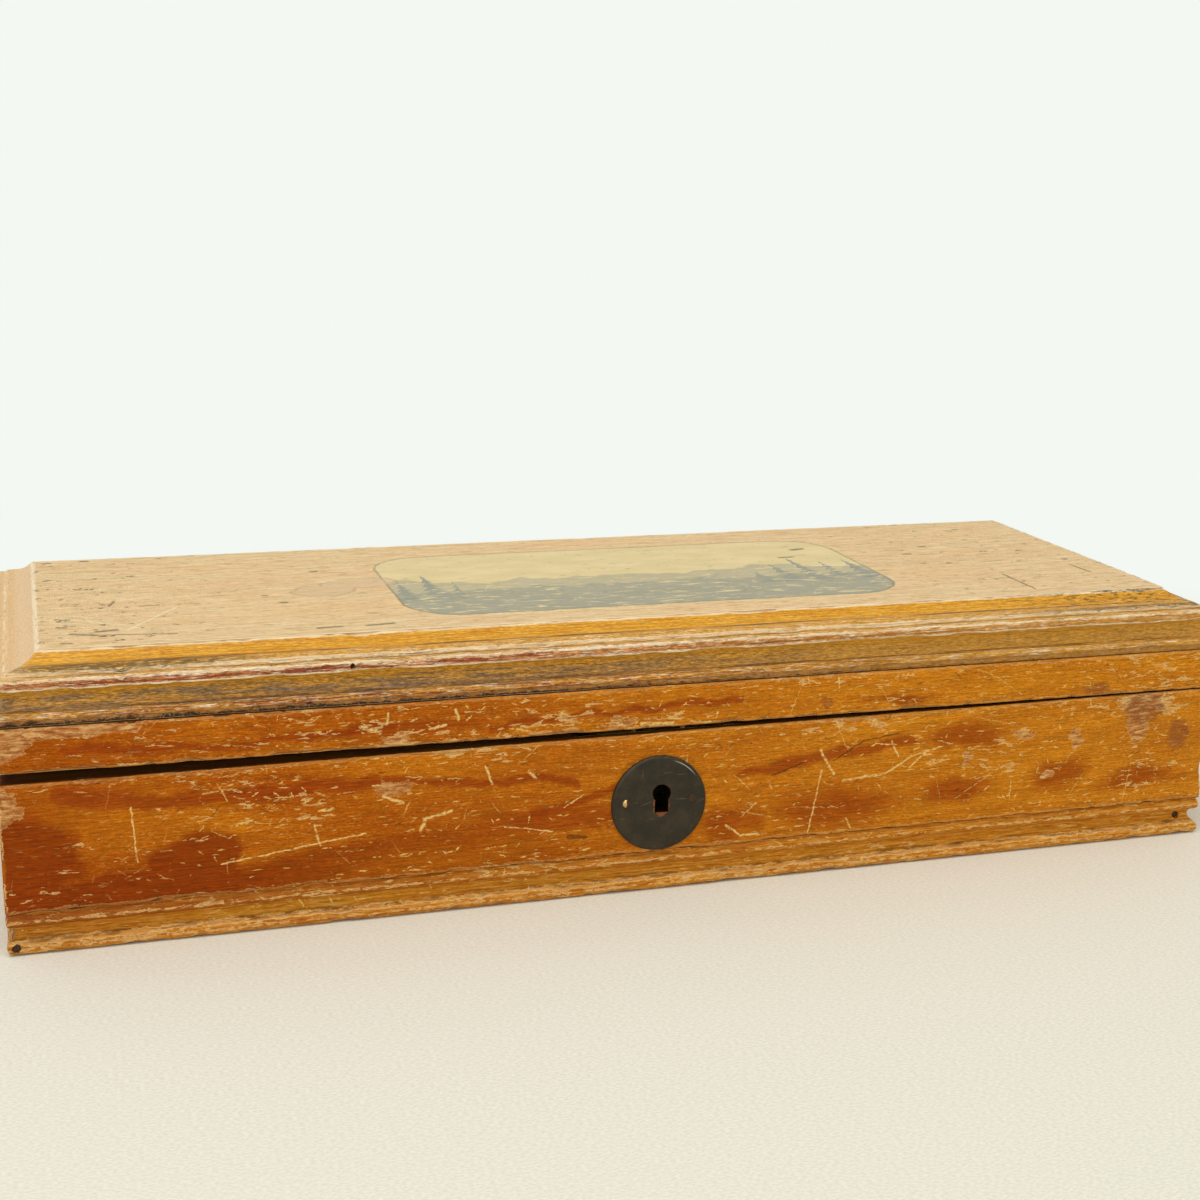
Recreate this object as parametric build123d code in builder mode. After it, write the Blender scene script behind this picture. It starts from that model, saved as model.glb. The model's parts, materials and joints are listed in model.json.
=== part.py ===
from build123d import *
from math import atan2, cos, degrees, radians, sin
import os

# Ditty box: mitred pine walls with a moulded foot, a hinged lid under a moulded top
# board, a box lock with its link plate, and two butt hinges. Millimetres, +Z up.
# The origin is the centre of the underside, the front faces -Y and the length lies
# along X. The lid sits a little canted, its seam open at the left end.

# ---- Driving dimensions: the case -------------------------------------------------
length = 290.0
depth = 108.0
body_height = 38.3
wall = 8.0
bottom_thick = 4.0
rebate = 4.0
bottom_clearance = 0.15

# Heights and insets of the foot moulding, worked in the wall's own thickness
foot_top = 3.2
foot_toe = 0.9
foot_neck = 0.5
cove_top = 6.2
cove_depth = 2.0
bead_top = 9.1
bead_neck = 1.5
quirk_height = 0.5
quirk_depth = 0.8

# ---- Driving dimensions: the lid, heights counted from its seam --------------------
seam_left = 2.3
seam_right = 0.2
rail_height = 10.0
lid_joint_height = 0.9
lid_joint_depth = 0.9
lid_bead_height = 2.2
lid_bead_neck = 0.6
lid_cove_height = 4.5
lid_cove_depth = 2.2
lid_fillet_height = 2.4
ledge_width = 5.7
ledge_rise = 1.7
ledge_step = 0.25
arris = 0.3
bevel_width = 3.6
bevel_rise = 2.5
bevel_hollow = 0.3

# ---- Driving dimensions: hinges ----------------------------------------------------
hinge_length = 25.0
hinge_from_end = 50.0
hinge_inset = 1.5
leaf_width = 6.0
leaf_thick = 0.9
leaf_split = 0.4
barrel_radius = 1.6
barrel_clearance = 0.3
knuckle_count = 5
knuckle_clearance = 0.15
hinge_pin_radius = 0.8
hinge_pin_clearance = 0.05
pin_head_radius = 1.15
pin_head_height = 0.4
stop_bevel_angle = 52.0
hinge_screw_spacing = 15.0

# ---- Driving dimensions: lock ------------------------------------------------------
lock_x = 0.5
lock_width = 40.0
lock_drop = 26.0
lock_plate_thick = 0.9
selvedge_width = 5.6
cap_width = 28.0
cap_drop = 23.0
cap_depth = 4.2
cap_thick = 0.6
key_drop = 14.3
key_lobe_radius = 2.2
key_slot_width = 3.3
key_slot_drop = 4.6
lock_screw_spacing_x = 34.4
lock_screw_upper_drop = 6.0
lock_screw_lower_drop = 22.0
bolt_travel = 3.0
bolt_thick = 1.4
bolt_top_drop = 3.5
bolt_reach = 10.0
bolt_bar_height = 3.4
bolt_left = 12.0
bolt_right = 9.0
horn_length = 3.2
horn_height = 1.4
horn_arm_width = 1.8
horn_clearance = 0.4
talon_width = 4.0
talon_depth = 1.2
stud_radius = 0.8
stud_x = 5.5
stud_clearance = 0.1
spring_thick = 0.35
spring_width = 1.2
spring_clearance = 0.1

# Staples on the link plate: one for each horn of the bolt
staple_left_x = -5.5
staple_right_x = 6.5
staple_thick = 1.0
staple_width = 2.8
staple_web = 0.8
slot_clearance = 0.4
link_screw_spacing = 32.0
fitting_clearance = 0.1

# ---- Driving dimensions: escutcheon ------------------------------------------------
escutcheon_radius = 11.4
escutcheon_thick = 1.0
escutcheon_rim = 0.5
escutcheon_drop = 16.7
escutcheon_pin_spacing = 15.8
escutcheon_pin_lift = 0.7

# ---- Driving dimensions: fasteners -------------------------------------------------
screw_head_radius = 1.45
screw_head_height = 0.75
screw_shank_radius = 0.7
screw_tip_height = 1.2
screw_slot_width = 0.4
screw_slot_depth = 0.35
hinge_screw_length = 7.5
lock_screw_length = 5.2
link_screw_length = 6.5
nail_head_radius = 0.9
nail_head_height = 0.4
nail_shank_radius = 0.5
nail_length = 12.0
bottom_nail_length = 11.0
bottom_nail_count = 5
bottom_end_nail_count = 2
tack_head_radius = 0.95
tack_dome = 0.35
tack_brow_radius = 0.57
tack_brow_height = 0.28
tack_shank_radius = 0.45
tack_length = 3.6

# Pins near the corners sit where the hand put them, from the end and above the floor
front_left_nail_in = 2.0
front_left_nail_up = 1.9
front_right_nail_in = 5.4
front_right_nail_up = 4.7
back_nail_in = 2.5
back_nail_up = 1.9
upper_nail_drop = 9.0
lid_nail_height = 5.0
nail_from_corner = 4.0

# ---- Worked-out places -------------------------------------------------------------
quirk_top = bead_top + quirk_height
seam_middle = (seam_left + seam_right) / 2
cant = degrees(atan2(seam_left - seam_right, length))
lid_joint_top = rail_height + lid_joint_height
lid_bead_top = lid_joint_top + lid_bead_height
lid_cove_top = lid_bead_top + lid_cove_height
lid_fillet_top = lid_cove_top + lid_fillet_height
ledge_top = lid_fillet_top + ledge_rise
panel_inset = ledge_width + bevel_width
lid_height = ledge_top + bevel_rise
leaf_back = leaf_split / 2 + leaf_thick
bolt_middle = -lock_plate_thick - (cap_depth - cap_thick) / 2
staple_xs = [staple_left_x, staple_right_x]
horn_tip_xs = [x - staple_thick / 2 - horn_clearance for x in staple_xs]
bolt_bar_top = -bolt_reach + bolt_bar_height
eye_bottom = -bolt_top_drop - horn_height - horn_clearance
eye_top = -bolt_top_drop + horn_clearance
staple_bottom = eye_bottom - staple_web


# ---- Frames ------------------------------------------------------------------------
def canted(origin, angle):
    """A frame turned about Y so that its left end is the higher one."""
    turn = radians(angle)
    return Plane(origin=origin, x_dir=(cos(turn), 0, -sin(turn)), z_dir=(sin(turn), 0, cos(turn)))


def in_frame(frame, plane):
    """A plane given in a frame's own directions, as a plane of the whole box."""
    return Plane(frame.location * plane.location)


box_frame = Plane.XY
lid_frame = canted((0, 0, body_height + seam_middle), cant)
hinge_frame = canted((0, depth / 2 - hinge_inset, body_height + seam_middle / 2), cant / 2)
lock_frame = Plane(origin=(lock_x, -depth / 2 + wall, body_height))
link_frame = in_frame(lid_frame, Plane(origin=(lock_x, -depth / 2 + wall, 0)))
escutcheon_frame = Plane(
    origin=(0, -depth / 2, body_height - escutcheon_drop), x_dir=(1, 0, 0), z_dir=(0, -1, 0)
)

# Each side of the case: turn about Z, distance to its outer face, half its run
FRONT = (0, depth / 2, length / 2)
RIGHT = (90, length / 2, depth / 2)
BACK = (180, depth / 2, length / 2)
LEFT = (270, length / 2, depth / 2)


# ---- Shared shapes -----------------------------------------------------------------
def box_between(frame, low, high, mode=Mode.ADD):
    """A block from its low to its high corner, in a frame's own directions."""
    size = [high[i] - low[i] for i in range(3)]
    middle = [(high[i] + low[i]) / 2 for i in range(3)]
    with Locations(frame.location * Location(tuple(middle))):
        Box(*size, mode=mode)


def turned(seat, outline, mode=Mode.ADD):
    """A shape turned about the seat's normal from (radius, height) points."""
    with BuildSketch(in_frame(seat, Plane.XZ)) as half:
        with BuildLine():
            Polyline(*outline, close=True)
        make_face()
    revolve(half.sketch, axis=Axis(seat.origin, seat.z_dir), mode=mode)


def screw_outline(shank):
    return [
        (0, 0),
        (screw_head_radius, 0),
        (screw_shank_radius, -screw_head_height),
        (screw_shank_radius, -shank + screw_tip_height),
        (0, -shank),
    ]


def nail_outline(shank):
    return [
        (0, 0),
        (nail_head_radius, 0),
        (nail_head_radius, -nail_head_height),
        (nail_shank_radius, -nail_head_height),
        (nail_shank_radius, -shank),
        (0, -shank),
    ]


def tack_outline():
    return [
        (0, tack_dome),
        (tack_brow_radius, tack_brow_height),
        (tack_head_radius, 0),
        (tack_shank_radius, 0),
        (tack_shank_radius, -tack_length),
        (0, -tack_length),
    ]


def slotted_screws(seats, shank):
    """Countersunk screws with their heads flush in each seat."""
    half_slot = screw_slot_width / 2
    for seat in seats:
        turned(seat, screw_outline(shank))
        box_between(
            seat,
            (-screw_head_radius, -half_slot, -screw_slot_depth),
            (screw_head_radius, half_slot, screw_slot_depth),
            Mode.SUBTRACT,
        )


def bored_for(seats, outline):
    """Holes that the fasteners at these seats fill."""
    for seat in seats:
        turned(seat, outline, Mode.SUBTRACT)


def side_frame(frame, side):
    """The frame turned so that its -Y faces out of the side."""
    return Plane(frame.location * Location((0, 0, 0), (0, 0, side[0])))


def mitred_board(frame, side, draw_section):
    """A board along one side, its section drawn inwards and upwards, mitred both ends."""
    facing = side_frame(frame, side)
    outer, run = side[1], side[2]
    section = Plane(origin=(0, -outer, 0), x_dir=(0, 1, 0), z_dir=(1, 0, 0))
    with BuildSketch(in_frame(facing, section)) as board:
        draw_section()
    extrude(board.sketch, amount=run, both=True)
    for end in (-1, 1):
        mitre = Plane(origin=(end * run, -outer, 0), z_dir=(end, 1, 0))
        split(bisect_by=in_frame(facing, mitre), keep=Keep.BOTTOM)


def wall_section():
    """Case wall: foot, cove, bead, quirk and flat frieze, rebated for the bottom."""
    bead_middle = (bead_top + cove_top) / 2
    cove_middle = (cove_top + foot_top) / 2
    with BuildLine() as outline:
        Polyline(
            (foot_toe, 0),
            (wall - rebate, 0),
            (wall - rebate, bottom_thick),
            (wall, bottom_thick),
            (wall, body_height),
            (0, body_height),
            (0, quirk_top),
            (quirk_depth, bead_top),
        )
        ThreePointArc((quirk_depth, bead_top), (0, bead_middle), (bead_neck, cove_top))
        ThreePointArc((bead_neck, cove_top), (cove_depth, cove_middle), (foot_neck, foot_top))
        ThreePointArc((foot_neck, foot_top), (0, foot_top / 2), (foot_toe, 0))
    make_face(outline.line)


def rail_section():
    """Lid rail: a plain frieze."""
    with BuildLine() as outline:
        Polyline((0, 0), (wall, 0), (wall, rail_height), (0, rail_height), close=True)
    make_face(outline.line)


def top_board_section(edge):
    """Lid top across one of its directions, from its middle out to the edge."""
    joint = edge - lid_joint_depth
    neck = edge - lid_bead_neck
    step = edge - ledge_width / 2
    bead_middle = (lid_joint_top + lid_bead_top) / 2
    cove_middle = (lid_bead_top + lid_cove_top) / 2
    ledge_middle = lid_fillet_top + ledge_rise / 2
    ledge_end = edge - ledge_width
    panel_edge = edge - panel_inset
    with BuildLine() as outline:
        Polyline((0, rail_height), (joint, rail_height), (joint, lid_joint_top))
        ThreePointArc((joint, lid_joint_top), (edge, bead_middle), (neck, lid_bead_top))
        ThreePointArc((neck, lid_bead_top), (edge - lid_cove_depth, cove_middle), (edge, lid_cove_top))
        Polyline(
            (edge, lid_cove_top),
            (edge, lid_fillet_top - arris),
            (edge - arris, lid_fillet_top),
            (step, ledge_middle - ledge_step / 2),
            (step, ledge_middle + ledge_step / 2),
            (ledge_end, ledge_top),
        )
        ThreePointArc(
            (ledge_end, ledge_top),
            ((ledge_end + panel_edge) / 2 - bevel_hollow, (ledge_top + lid_height) / 2 - bevel_hollow),
            (panel_edge, lid_height),
        )
        Line((panel_edge, lid_height), (0, lid_height))
        mirror(about=Plane.YZ)
    make_face(outline.line)


def stop_bevel(side_of_seam):
    """Planes off the back arris, so that box and lid meet there when the lid is open."""
    angle = radians(stop_bevel_angle)
    cut = Plane(origin=(0, 0, 0), x_dir=(1, 0, 0), z_dir=(0, sin(angle), side_of_seam * cos(angle)))
    split(bisect_by=in_frame(hinge_frame, cut), keep=Keep.BOTTOM)


# ---- Seats of the fasteners --------------------------------------------------------
hinge_xs = {"left": -length / 2 + hinge_from_end, "right": length / 2 - hinge_from_end}
leaf_screw_y = -(leaf_width + barrel_radius + barrel_clearance) / 2
leaf_screw_offsets = [
    x + shift * hinge_screw_spacing / 2 for x in hinge_xs.values() for shift in (-1, 1)
]
hinge_box_seats = [
    in_frame(hinge_frame, Plane(origin=(x, leaf_screw_y, -leaf_split / 2)))
    for x in leaf_screw_offsets
]
hinge_lid_seats = [
    in_frame(hinge_frame, Plane(origin=(x, leaf_screw_y, leaf_split / 2), z_dir=(0, 0, -1)))
    for x in leaf_screw_offsets
]
lock_seats = [
    in_frame(lock_frame, Plane(origin=(side * lock_screw_spacing_x / 2, 0, -drop), z_dir=(0, 1, 0)))
    for side in (-1, 1)
    for drop in (lock_screw_upper_drop, lock_screw_lower_drop)
]
link_seats = [
    in_frame(
        link_frame,
        Plane(origin=(side * link_screw_spacing / 2, -selvedge_width / 2, 0), z_dir=(0, 0, -1)),
    )
    for side in (-1, 1)
]
tack_seats = [
    in_frame(
        escutcheon_frame,
        Plane(origin=(side * escutcheon_pin_spacing / 2, escutcheon_pin_lift, escutcheon_thick)),
    )
    for side in (-1, 1)
]


def foot_inset(height):
    """How far the moulded foot stands back from the wall's face at a pin's height."""
    return 0 if height < foot_top else cove_depth


def nail_seat(side, along, height, inset=0.0, frame=box_frame):
    """Seat for a pin driven straight into one side, at a place along it and up it."""
    spot = Plane(origin=(along, -side[1] + inset, height), x_dir=(1, 0, 0), z_dir=(0, -1, 0))
    return in_frame(side_frame(frame, side), spot)


def foot_nail(side, end, inwards, height):
    """Seat for a pin near one end of a long side, low down in its foot moulding."""
    return nail_seat(side, end * (length / 2 - inwards), height, foot_inset(height))


box_front_nails = [
    foot_nail(FRONT, -1, front_left_nail_in, front_left_nail_up),
    foot_nail(FRONT, 1, front_right_nail_in, front_right_nail_up),
]
box_back_nails = [foot_nail(BACK, end, back_nail_in, back_nail_up) for end in (-1, 1)]
box_end_nails = [
    nail_seat(side, end * (depth / 2 - nail_from_corner), body_height - upper_nail_drop)
    for side in (LEFT, RIGHT)
    for end in (-1, 1)
]
box_nails = box_front_nails + box_back_nails + box_end_nails
lid_nails = [
    nail_seat(side, end * (depth / 2 - nail_from_corner), lid_nail_height, 0, lid_frame)
    for side in (LEFT, RIGHT)
    for end in (-1, 1)
]


def spread(count, reach):
    """Evenly spaced places from one reach to the other."""
    return [reach * (2 * n / (count - 1) - 1) for n in range(count)]


bottom_nail_inset = wall - rebate / 2
bottom_nail_x = length / 2 - bottom_nail_inset
bottom_nail_y = depth / 2 - bottom_nail_inset
long_side_spots = [
    (x, end * bottom_nail_y)
    for x in spread(bottom_nail_count, bottom_nail_x - wall)
    for end in (-1, 1)
]
end_spots = [
    (end * bottom_nail_x, y)
    for y in spread(bottom_end_nail_count, bottom_nail_y / 2)
    for end in (-1, 1)
]
bottom_nails = [
    Plane(origin=(x, y, 0), z_dir=(0, 0, -1)) for x, y in long_side_spots + end_spots
]


# ---- Shapes of the hinges and the lock ---------------------------------------------
def keyhole(plane, amount, mode=Mode.SUBTRACT):
    """Keyhole through a plate: a round lobe over a straight slot."""
    with BuildSketch(plane) as hole:
        Circle(key_lobe_radius)
        with Locations((0, -key_slot_drop / 2)):
            Rectangle(key_slot_width, key_slot_drop)
    extrude(hole.sketch, amount=amount, both=True, mode=mode)


key_plane = in_frame(
    lock_frame, Plane(origin=(0, -wall, -key_drop), x_dir=(1, 0, 0), z_dir=(0, -1, 0))
)


def hinge_gains(end):
    """Beds for both hinges' leaves and barrels, in the board on one side of the seam."""
    half = hinge_length / 2
    run = hinge_length + 2 * (pin_head_height + barrel_clearance)
    for x in hinge_xs.values():
        box_between(
            hinge_frame,
            (x - half, -leaf_width, min(end * leaf_back, 0)),
            (x + half, 0, max(end * leaf_back, 0)),
            Mode.SUBTRACT,
        )
        with Locations(hinge_frame.location * Location((x, 0, 0), (0, 90, 0))):
            Cylinder(barrel_radius + barrel_clearance, run, mode=Mode.SUBTRACT)


def hinge_leaf(x, end, bore, own):
    """One leaf of a hinge: its plate, and the knuckles whose turn it is."""
    half = hinge_length / 2
    neck = -barrel_radius - barrel_clearance
    pitch = hinge_length / knuckle_count
    low, high = sorted((end * leaf_back, end * leaf_split / 2))
    box_between(hinge_frame, (x - half, -leaf_width, low), (x + half, neck, high))
    for n in range(own, knuckle_count, 2):
        first, last = n == 0, n == knuckle_count - 1
        start = x - half + n * pitch + (0 if first else knuckle_clearance / 2)
        stop = x - half + (n + 1) * pitch - (0 if last else knuckle_clearance / 2)
        box_between(hinge_frame, (start, neck, low), (stop, 0, high))
        with Locations(hinge_frame.location * Location(((start + stop) / 2, 0, 0), (0, 90, 0))):
            Cylinder(barrel_radius, stop - start)
    with Locations(hinge_frame.location * Location((x, 0, 0), (0, 90, 0))):
        Cylinder(bore, 2 * hinge_length, mode=Mode.SUBTRACT)


def selvedge_slots():
    """Slots in the lock's top flange that the staples drop through."""
    for x in staple_xs:
        half_x = staple_thick / 2 + slot_clearance
        half_y = staple_width / 2 + slot_clearance
        box_between(
            lock_frame,
            (x - half_x, bolt_middle - half_y, -lock_plate_thick),
            (x + half_x, bolt_middle + half_y, lock_plate_thick),
            Mode.SUBTRACT,
        )


# ---- The case ----------------------------------------------------------------------
with BuildPart() as bottom_board:
    bottom_inset = wall - rebate + bottom_clearance
    box_between(
        box_frame,
        (-length / 2 + bottom_inset, -depth / 2 + bottom_inset, 0),
        (length / 2 - bottom_inset, depth / 2 - bottom_inset, bottom_thick),
    )
    bored_for(bottom_nails, nail_outline(bottom_nail_length))

with BuildPart() as box_front:
    mitred_board(box_frame, FRONT, wall_section)
    # Pocket for the lock's cap, bed for its plate and bed for its selvedge
    pocket_half = cap_width / 2 + fitting_clearance
    pocket_reach = lock_plate_thick + cap_depth + fitting_clearance
    bed_half = lock_width / 2 + fitting_clearance
    box_between(
        lock_frame,
        (-pocket_half, -pocket_reach, -cap_drop - fitting_clearance),
        (pocket_half, wall, wall),
        Mode.SUBTRACT,
    )
    box_between(
        lock_frame,
        (-bed_half, -lock_plate_thick, -lock_drop - fitting_clearance),
        (bed_half, wall, wall),
        Mode.SUBTRACT,
    )
    box_between(
        lock_frame,
        (-bed_half, -selvedge_width - fitting_clearance, -lock_plate_thick),
        (bed_half, wall, wall),
        Mode.SUBTRACT,
    )
    keyhole(key_plane, wall - lock_plate_thick)
    bored_for(lock_seats, screw_outline(lock_screw_length))
    bored_for(tack_seats, tack_outline())
    bored_for(box_nails, nail_outline(nail_length))
    bored_for(bottom_nails, nail_outline(bottom_nail_length))

with BuildPart() as box_back:
    mitred_board(box_frame, BACK, wall_section)
    stop_bevel(1)
    hinge_gains(-1)
    bored_for(hinge_box_seats, screw_outline(hinge_screw_length))
    bored_for(box_nails, nail_outline(nail_length))
    bored_for(bottom_nails, nail_outline(bottom_nail_length))

with BuildPart() as box_left_end:
    mitred_board(box_frame, LEFT, wall_section)
    bored_for(box_nails, nail_outline(nail_length))
    bored_for(bottom_nails, nail_outline(bottom_nail_length))
    stop_bevel(1)

with BuildPart() as box_right_end:
    mitred_board(box_frame, RIGHT, wall_section)
    bored_for(box_nails, nail_outline(nail_length))
    bored_for(bottom_nails, nail_outline(bottom_nail_length))
    stop_bevel(1)

with BuildPart() as box_corner_pins:
    for seat in box_nails:
        turned(seat, nail_outline(nail_length))

with BuildPart() as bottom_pins:
    for seat in bottom_nails:
        turned(seat, nail_outline(bottom_nail_length))

# ---- Escutcheon --------------------------------------------------------------------
with BuildPart() as escutcheon:
    with BuildSketch(escutcheon_frame):
        Circle(escutcheon_radius)
    extrude(amount=escutcheon_thick)
    rim = escutcheon.edges().filter_by(GeomType.CIRCLE).sort_by(Axis.Y)[0]
    chamfer(rim, length=escutcheon_rim)
    keyhole(key_plane, wall)
    bored_for(tack_seats, tack_outline())

with BuildPart() as escutcheon_pins:
    for seat in tack_seats:
        turned(seat, tack_outline())

# ---- Lock --------------------------------------------------------------------------
with BuildPart() as lock_plate:
    half_lock = lock_width / 2
    box_between(
        lock_frame, (-half_lock, -lock_plate_thick, -lock_drop), (half_lock, 0, 0)
    )
    box_between(
        lock_frame, (-half_lock, -selvedge_width, -lock_plate_thick), (half_lock, 0, 0)
    )
    selvedge_slots()
    bored_for(lock_seats, screw_outline(lock_screw_length))
    # Hole that steadies the key's tip
    with Locations(lock_frame.location * Location((0, 0, -key_drop), (90, 0, 0))):
        Cylinder(key_slot_width / 2, wall, mode=Mode.SUBTRACT)

with BuildPart() as lock_cap:
    box_between(
        lock_frame,
        (-cap_width / 2, -lock_plate_thick - cap_depth, -cap_drop),
        (cap_width / 2, -lock_plate_thick, -lock_plate_thick),
    )
    box_between(
        lock_frame,
        (-cap_width / 2 + cap_thick, -lock_plate_thick - cap_depth + cap_thick, -cap_drop + cap_thick),
        (cap_width / 2 - cap_thick, wall, wall),
        Mode.SUBTRACT,
    )
    keyhole(key_plane, wall - lock_plate_thick)

with BuildPart() as lock_bolt:
    half_bolt = bolt_thick / 2
    box_between(
        lock_frame,
        (-bolt_left, bolt_middle - half_bolt, -bolt_reach),
        (bolt_right, bolt_middle + half_bolt, bolt_bar_top),
    )
    for tip in horn_tip_xs:
        arm = tip - horn_length
        box_between(
            lock_frame,
            (arm - horn_arm_width, bolt_middle - half_bolt, bolt_bar_top),
            (arm, bolt_middle + half_bolt, -bolt_top_drop),
        )
        box_between(
            lock_frame,
            (arm, bolt_middle - half_bolt, -bolt_top_drop - horn_height),
            (tip, bolt_middle + half_bolt, -bolt_top_drop),
        )
    # Slot that runs on the stud, as long as the bolt's travel
    slot_half = stud_radius + stud_clearance
    slot_middle = bolt_bar_top - bolt_bar_height / 2
    box_between(
        lock_frame,
        (stud_x - bolt_travel - slot_half, bolt_middle - wall, slot_middle - slot_half),
        (stud_x + slot_half, bolt_middle + wall, slot_middle + slot_half),
        Mode.SUBTRACT,
    )
    # Talon that the key's bit throws
    talon_x = -bolt_travel / 2
    box_between(
        lock_frame,
        (talon_x - talon_width / 2, bolt_middle - wall, -bolt_reach),
        (talon_x + talon_width / 2, bolt_middle + wall, -bolt_reach + talon_depth),
        Mode.SUBTRACT,
    )

with BuildPart() as lock_guide_stud:
    # Stands between the lock's plate and its cap, and guides the bolt by its slot
    with Locations(lock_frame.location * Location((stud_x, bolt_middle, slot_middle), (90, 0, 0))):
        Cylinder(stud_radius, cap_depth - cap_thick)

with BuildPart() as lock_spring:
    spring_foot_x = -cap_width / 2 + cap_thick + spring_thick / 2
    spring_tip_x = talon_x - talon_width / 2 - bolt_travel
    spring_bend = spring_tip_x - spring_foot_x
    spring_top = -bolt_reach - spring_clearance - spring_thick / 2
    spring_knee = (spring_foot_x, spring_top - spring_bend)
    spring_plane = Plane(origin=(0, bolt_middle, 0), x_dir=(1, 0, 0), z_dir=(0, -1, 0))
    with BuildSketch(in_frame(lock_frame, spring_plane)):
        with BuildLine():
            Line((spring_foot_x, -cap_drop + cap_thick), spring_knee)
            JernArc(spring_knee, (0, 1), spring_bend, -90)
        trace(line_width=spring_thick)
    extrude(amount=spring_width / 2, both=True)

with BuildPart() as lock_screws:
    slotted_screws(lock_seats, lock_screw_length)

# ---- The lid -----------------------------------------------------------------------
with BuildPart() as lid_front_rail:
    mitred_board(lid_frame, FRONT, rail_section)
    box_between(
        link_frame,
        (-bed_half, -selvedge_width - fitting_clearance, -wall),
        (bed_half, wall, lock_plate_thick),
        Mode.SUBTRACT,
    )
    bored_for(link_seats, screw_outline(link_screw_length))
    bored_for(lid_nails, nail_outline(nail_length))

with BuildPart() as lid_back_rail:
    mitred_board(lid_frame, BACK, rail_section)
    stop_bevel(-1)
    hinge_gains(1)
    bored_for(hinge_lid_seats, screw_outline(hinge_screw_length))
    bored_for(lid_nails, nail_outline(nail_length))

with BuildPart() as lid_left_rail:
    mitred_board(lid_frame, LEFT, rail_section)
    bored_for(lid_nails, nail_outline(nail_length))
    stop_bevel(-1)

with BuildPart() as lid_right_rail:
    mitred_board(lid_frame, RIGHT, rail_section)
    bored_for(lid_nails, nail_outline(nail_length))
    stop_bevel(-1)

with BuildPart() as lid_top:
    with BuildSketch(in_frame(lid_frame, Plane.XZ)):
        top_board_section(length / 2)
    extrude(amount=depth / 2, both=True)
    with BuildSketch(in_frame(lid_frame, Plane.YZ)):
        top_board_section(depth / 2)
    extrude(amount=length / 2, both=True, mode=Mode.INTERSECT)

with BuildPart() as lid_corner_pins:
    for seat in lid_nails:
        turned(seat, nail_outline(nail_length))

# ---- Link plate and its staples ----------------------------------------------------
with BuildPart() as link_plate:
    box_between(
        link_frame, (-lock_width / 2, -selvedge_width, 0), (lock_width / 2, 0, lock_plate_thick)
    )
    bored_for(link_seats, screw_outline(link_screw_length))
    for x in staple_xs:
        box_between(
            link_frame,
            (x - staple_thick / 2, bolt_middle - staple_width / 2, 0),
            (x + staple_thick / 2, bolt_middle + staple_width / 2, wall),
            Mode.SUBTRACT,
        )

with BuildPart() as link_staples:
    for x in staple_xs:
        box_between(
            link_frame,
            (x - staple_thick / 2, bolt_middle - staple_width / 2, staple_bottom - seam_middle),
            (x + staple_thick / 2, bolt_middle + staple_width / 2, lock_plate_thick),
        )
        eye_half = bolt_thick / 2 + horn_clearance / 2
        box_between(
            link_frame,
            (x - staple_thick, bolt_middle - eye_half, eye_bottom - seam_middle),
            (x + staple_thick, bolt_middle + eye_half, eye_top - seam_middle),
            Mode.SUBTRACT,
        )

with BuildPart() as link_plate_screws:
    slotted_screws(link_seats, link_screw_length)

# ---- Hinges ------------------------------------------------------------------------
hinge_parts = {}
for name, x in hinge_xs.items():
    with BuildPart() as box_leaf:
        hinge_leaf(x, -1, hinge_pin_radius, 0)
        bored_for(hinge_box_seats, screw_outline(hinge_screw_length))
    hinge_parts[f"hinge_{name}_box_leaf"] = box_leaf

    with BuildPart() as lid_leaf:
        hinge_leaf(x, 1, hinge_pin_radius + hinge_pin_clearance, 1)
        bored_for(hinge_lid_seats, screw_outline(hinge_screw_length))
    hinge_parts[f"hinge_{name}_lid_leaf"] = lid_leaf

    with BuildPart() as hinge_pin:
        with Locations(hinge_frame.location * Location((x, 0, 0), (0, 90, 0))):
            Cylinder(hinge_pin_radius, hinge_length)
        for end in (-1, 1):
            head_x = x + end * (hinge_length + pin_head_height) / 2
            with Locations(hinge_frame.location * Location((head_x, 0, 0), (0, 90, 0))):
                Cylinder(pin_head_radius, pin_head_height)
    hinge_parts[f"hinge_{name}_pin"] = hinge_pin

with BuildPart() as hinge_box_screws:
    slotted_screws(hinge_box_seats, hinge_screw_length)

with BuildPart() as hinge_lid_screws:
    slotted_screws(hinge_lid_seats, hinge_screw_length)

# ---- Write one STEP file for each piece --------------------------------------------
pieces = {
    "bottom_board": bottom_board,
    "box_front": box_front,
    "box_back": box_back,
    "box_left_end": box_left_end,
    "box_right_end": box_right_end,
    "box_corner_pins": box_corner_pins,
    "bottom_pins": bottom_pins,
    "escutcheon": escutcheon,
    "escutcheon_pins": escutcheon_pins,
    "lock_plate": lock_plate,
    "lock_cap": lock_cap,
    "lock_bolt": lock_bolt,
    "lock_guide_stud": lock_guide_stud,
    "lock_spring": lock_spring,
    "lock_screws": lock_screws,
    "lid_front_rail": lid_front_rail,
    "lid_back_rail": lid_back_rail,
    "lid_left_rail": lid_left_rail,
    "lid_right_rail": lid_right_rail,
    "lid_top": lid_top,
    "lid_corner_pins": lid_corner_pins,
    "link_plate": link_plate,
    "link_staples": link_staples,
    "link_plate_screws": link_plate_screws,
    "hinge_box_screws": hinge_box_screws,
    "hinge_lid_screws": hinge_lid_screws,
} | hinge_parts

os.makedirs("parts", exist_ok=True)
for name, piece in pieces.items():
    piece.part.label = name
    export_step(piece.part, f"parts/{name}.step")
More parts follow.
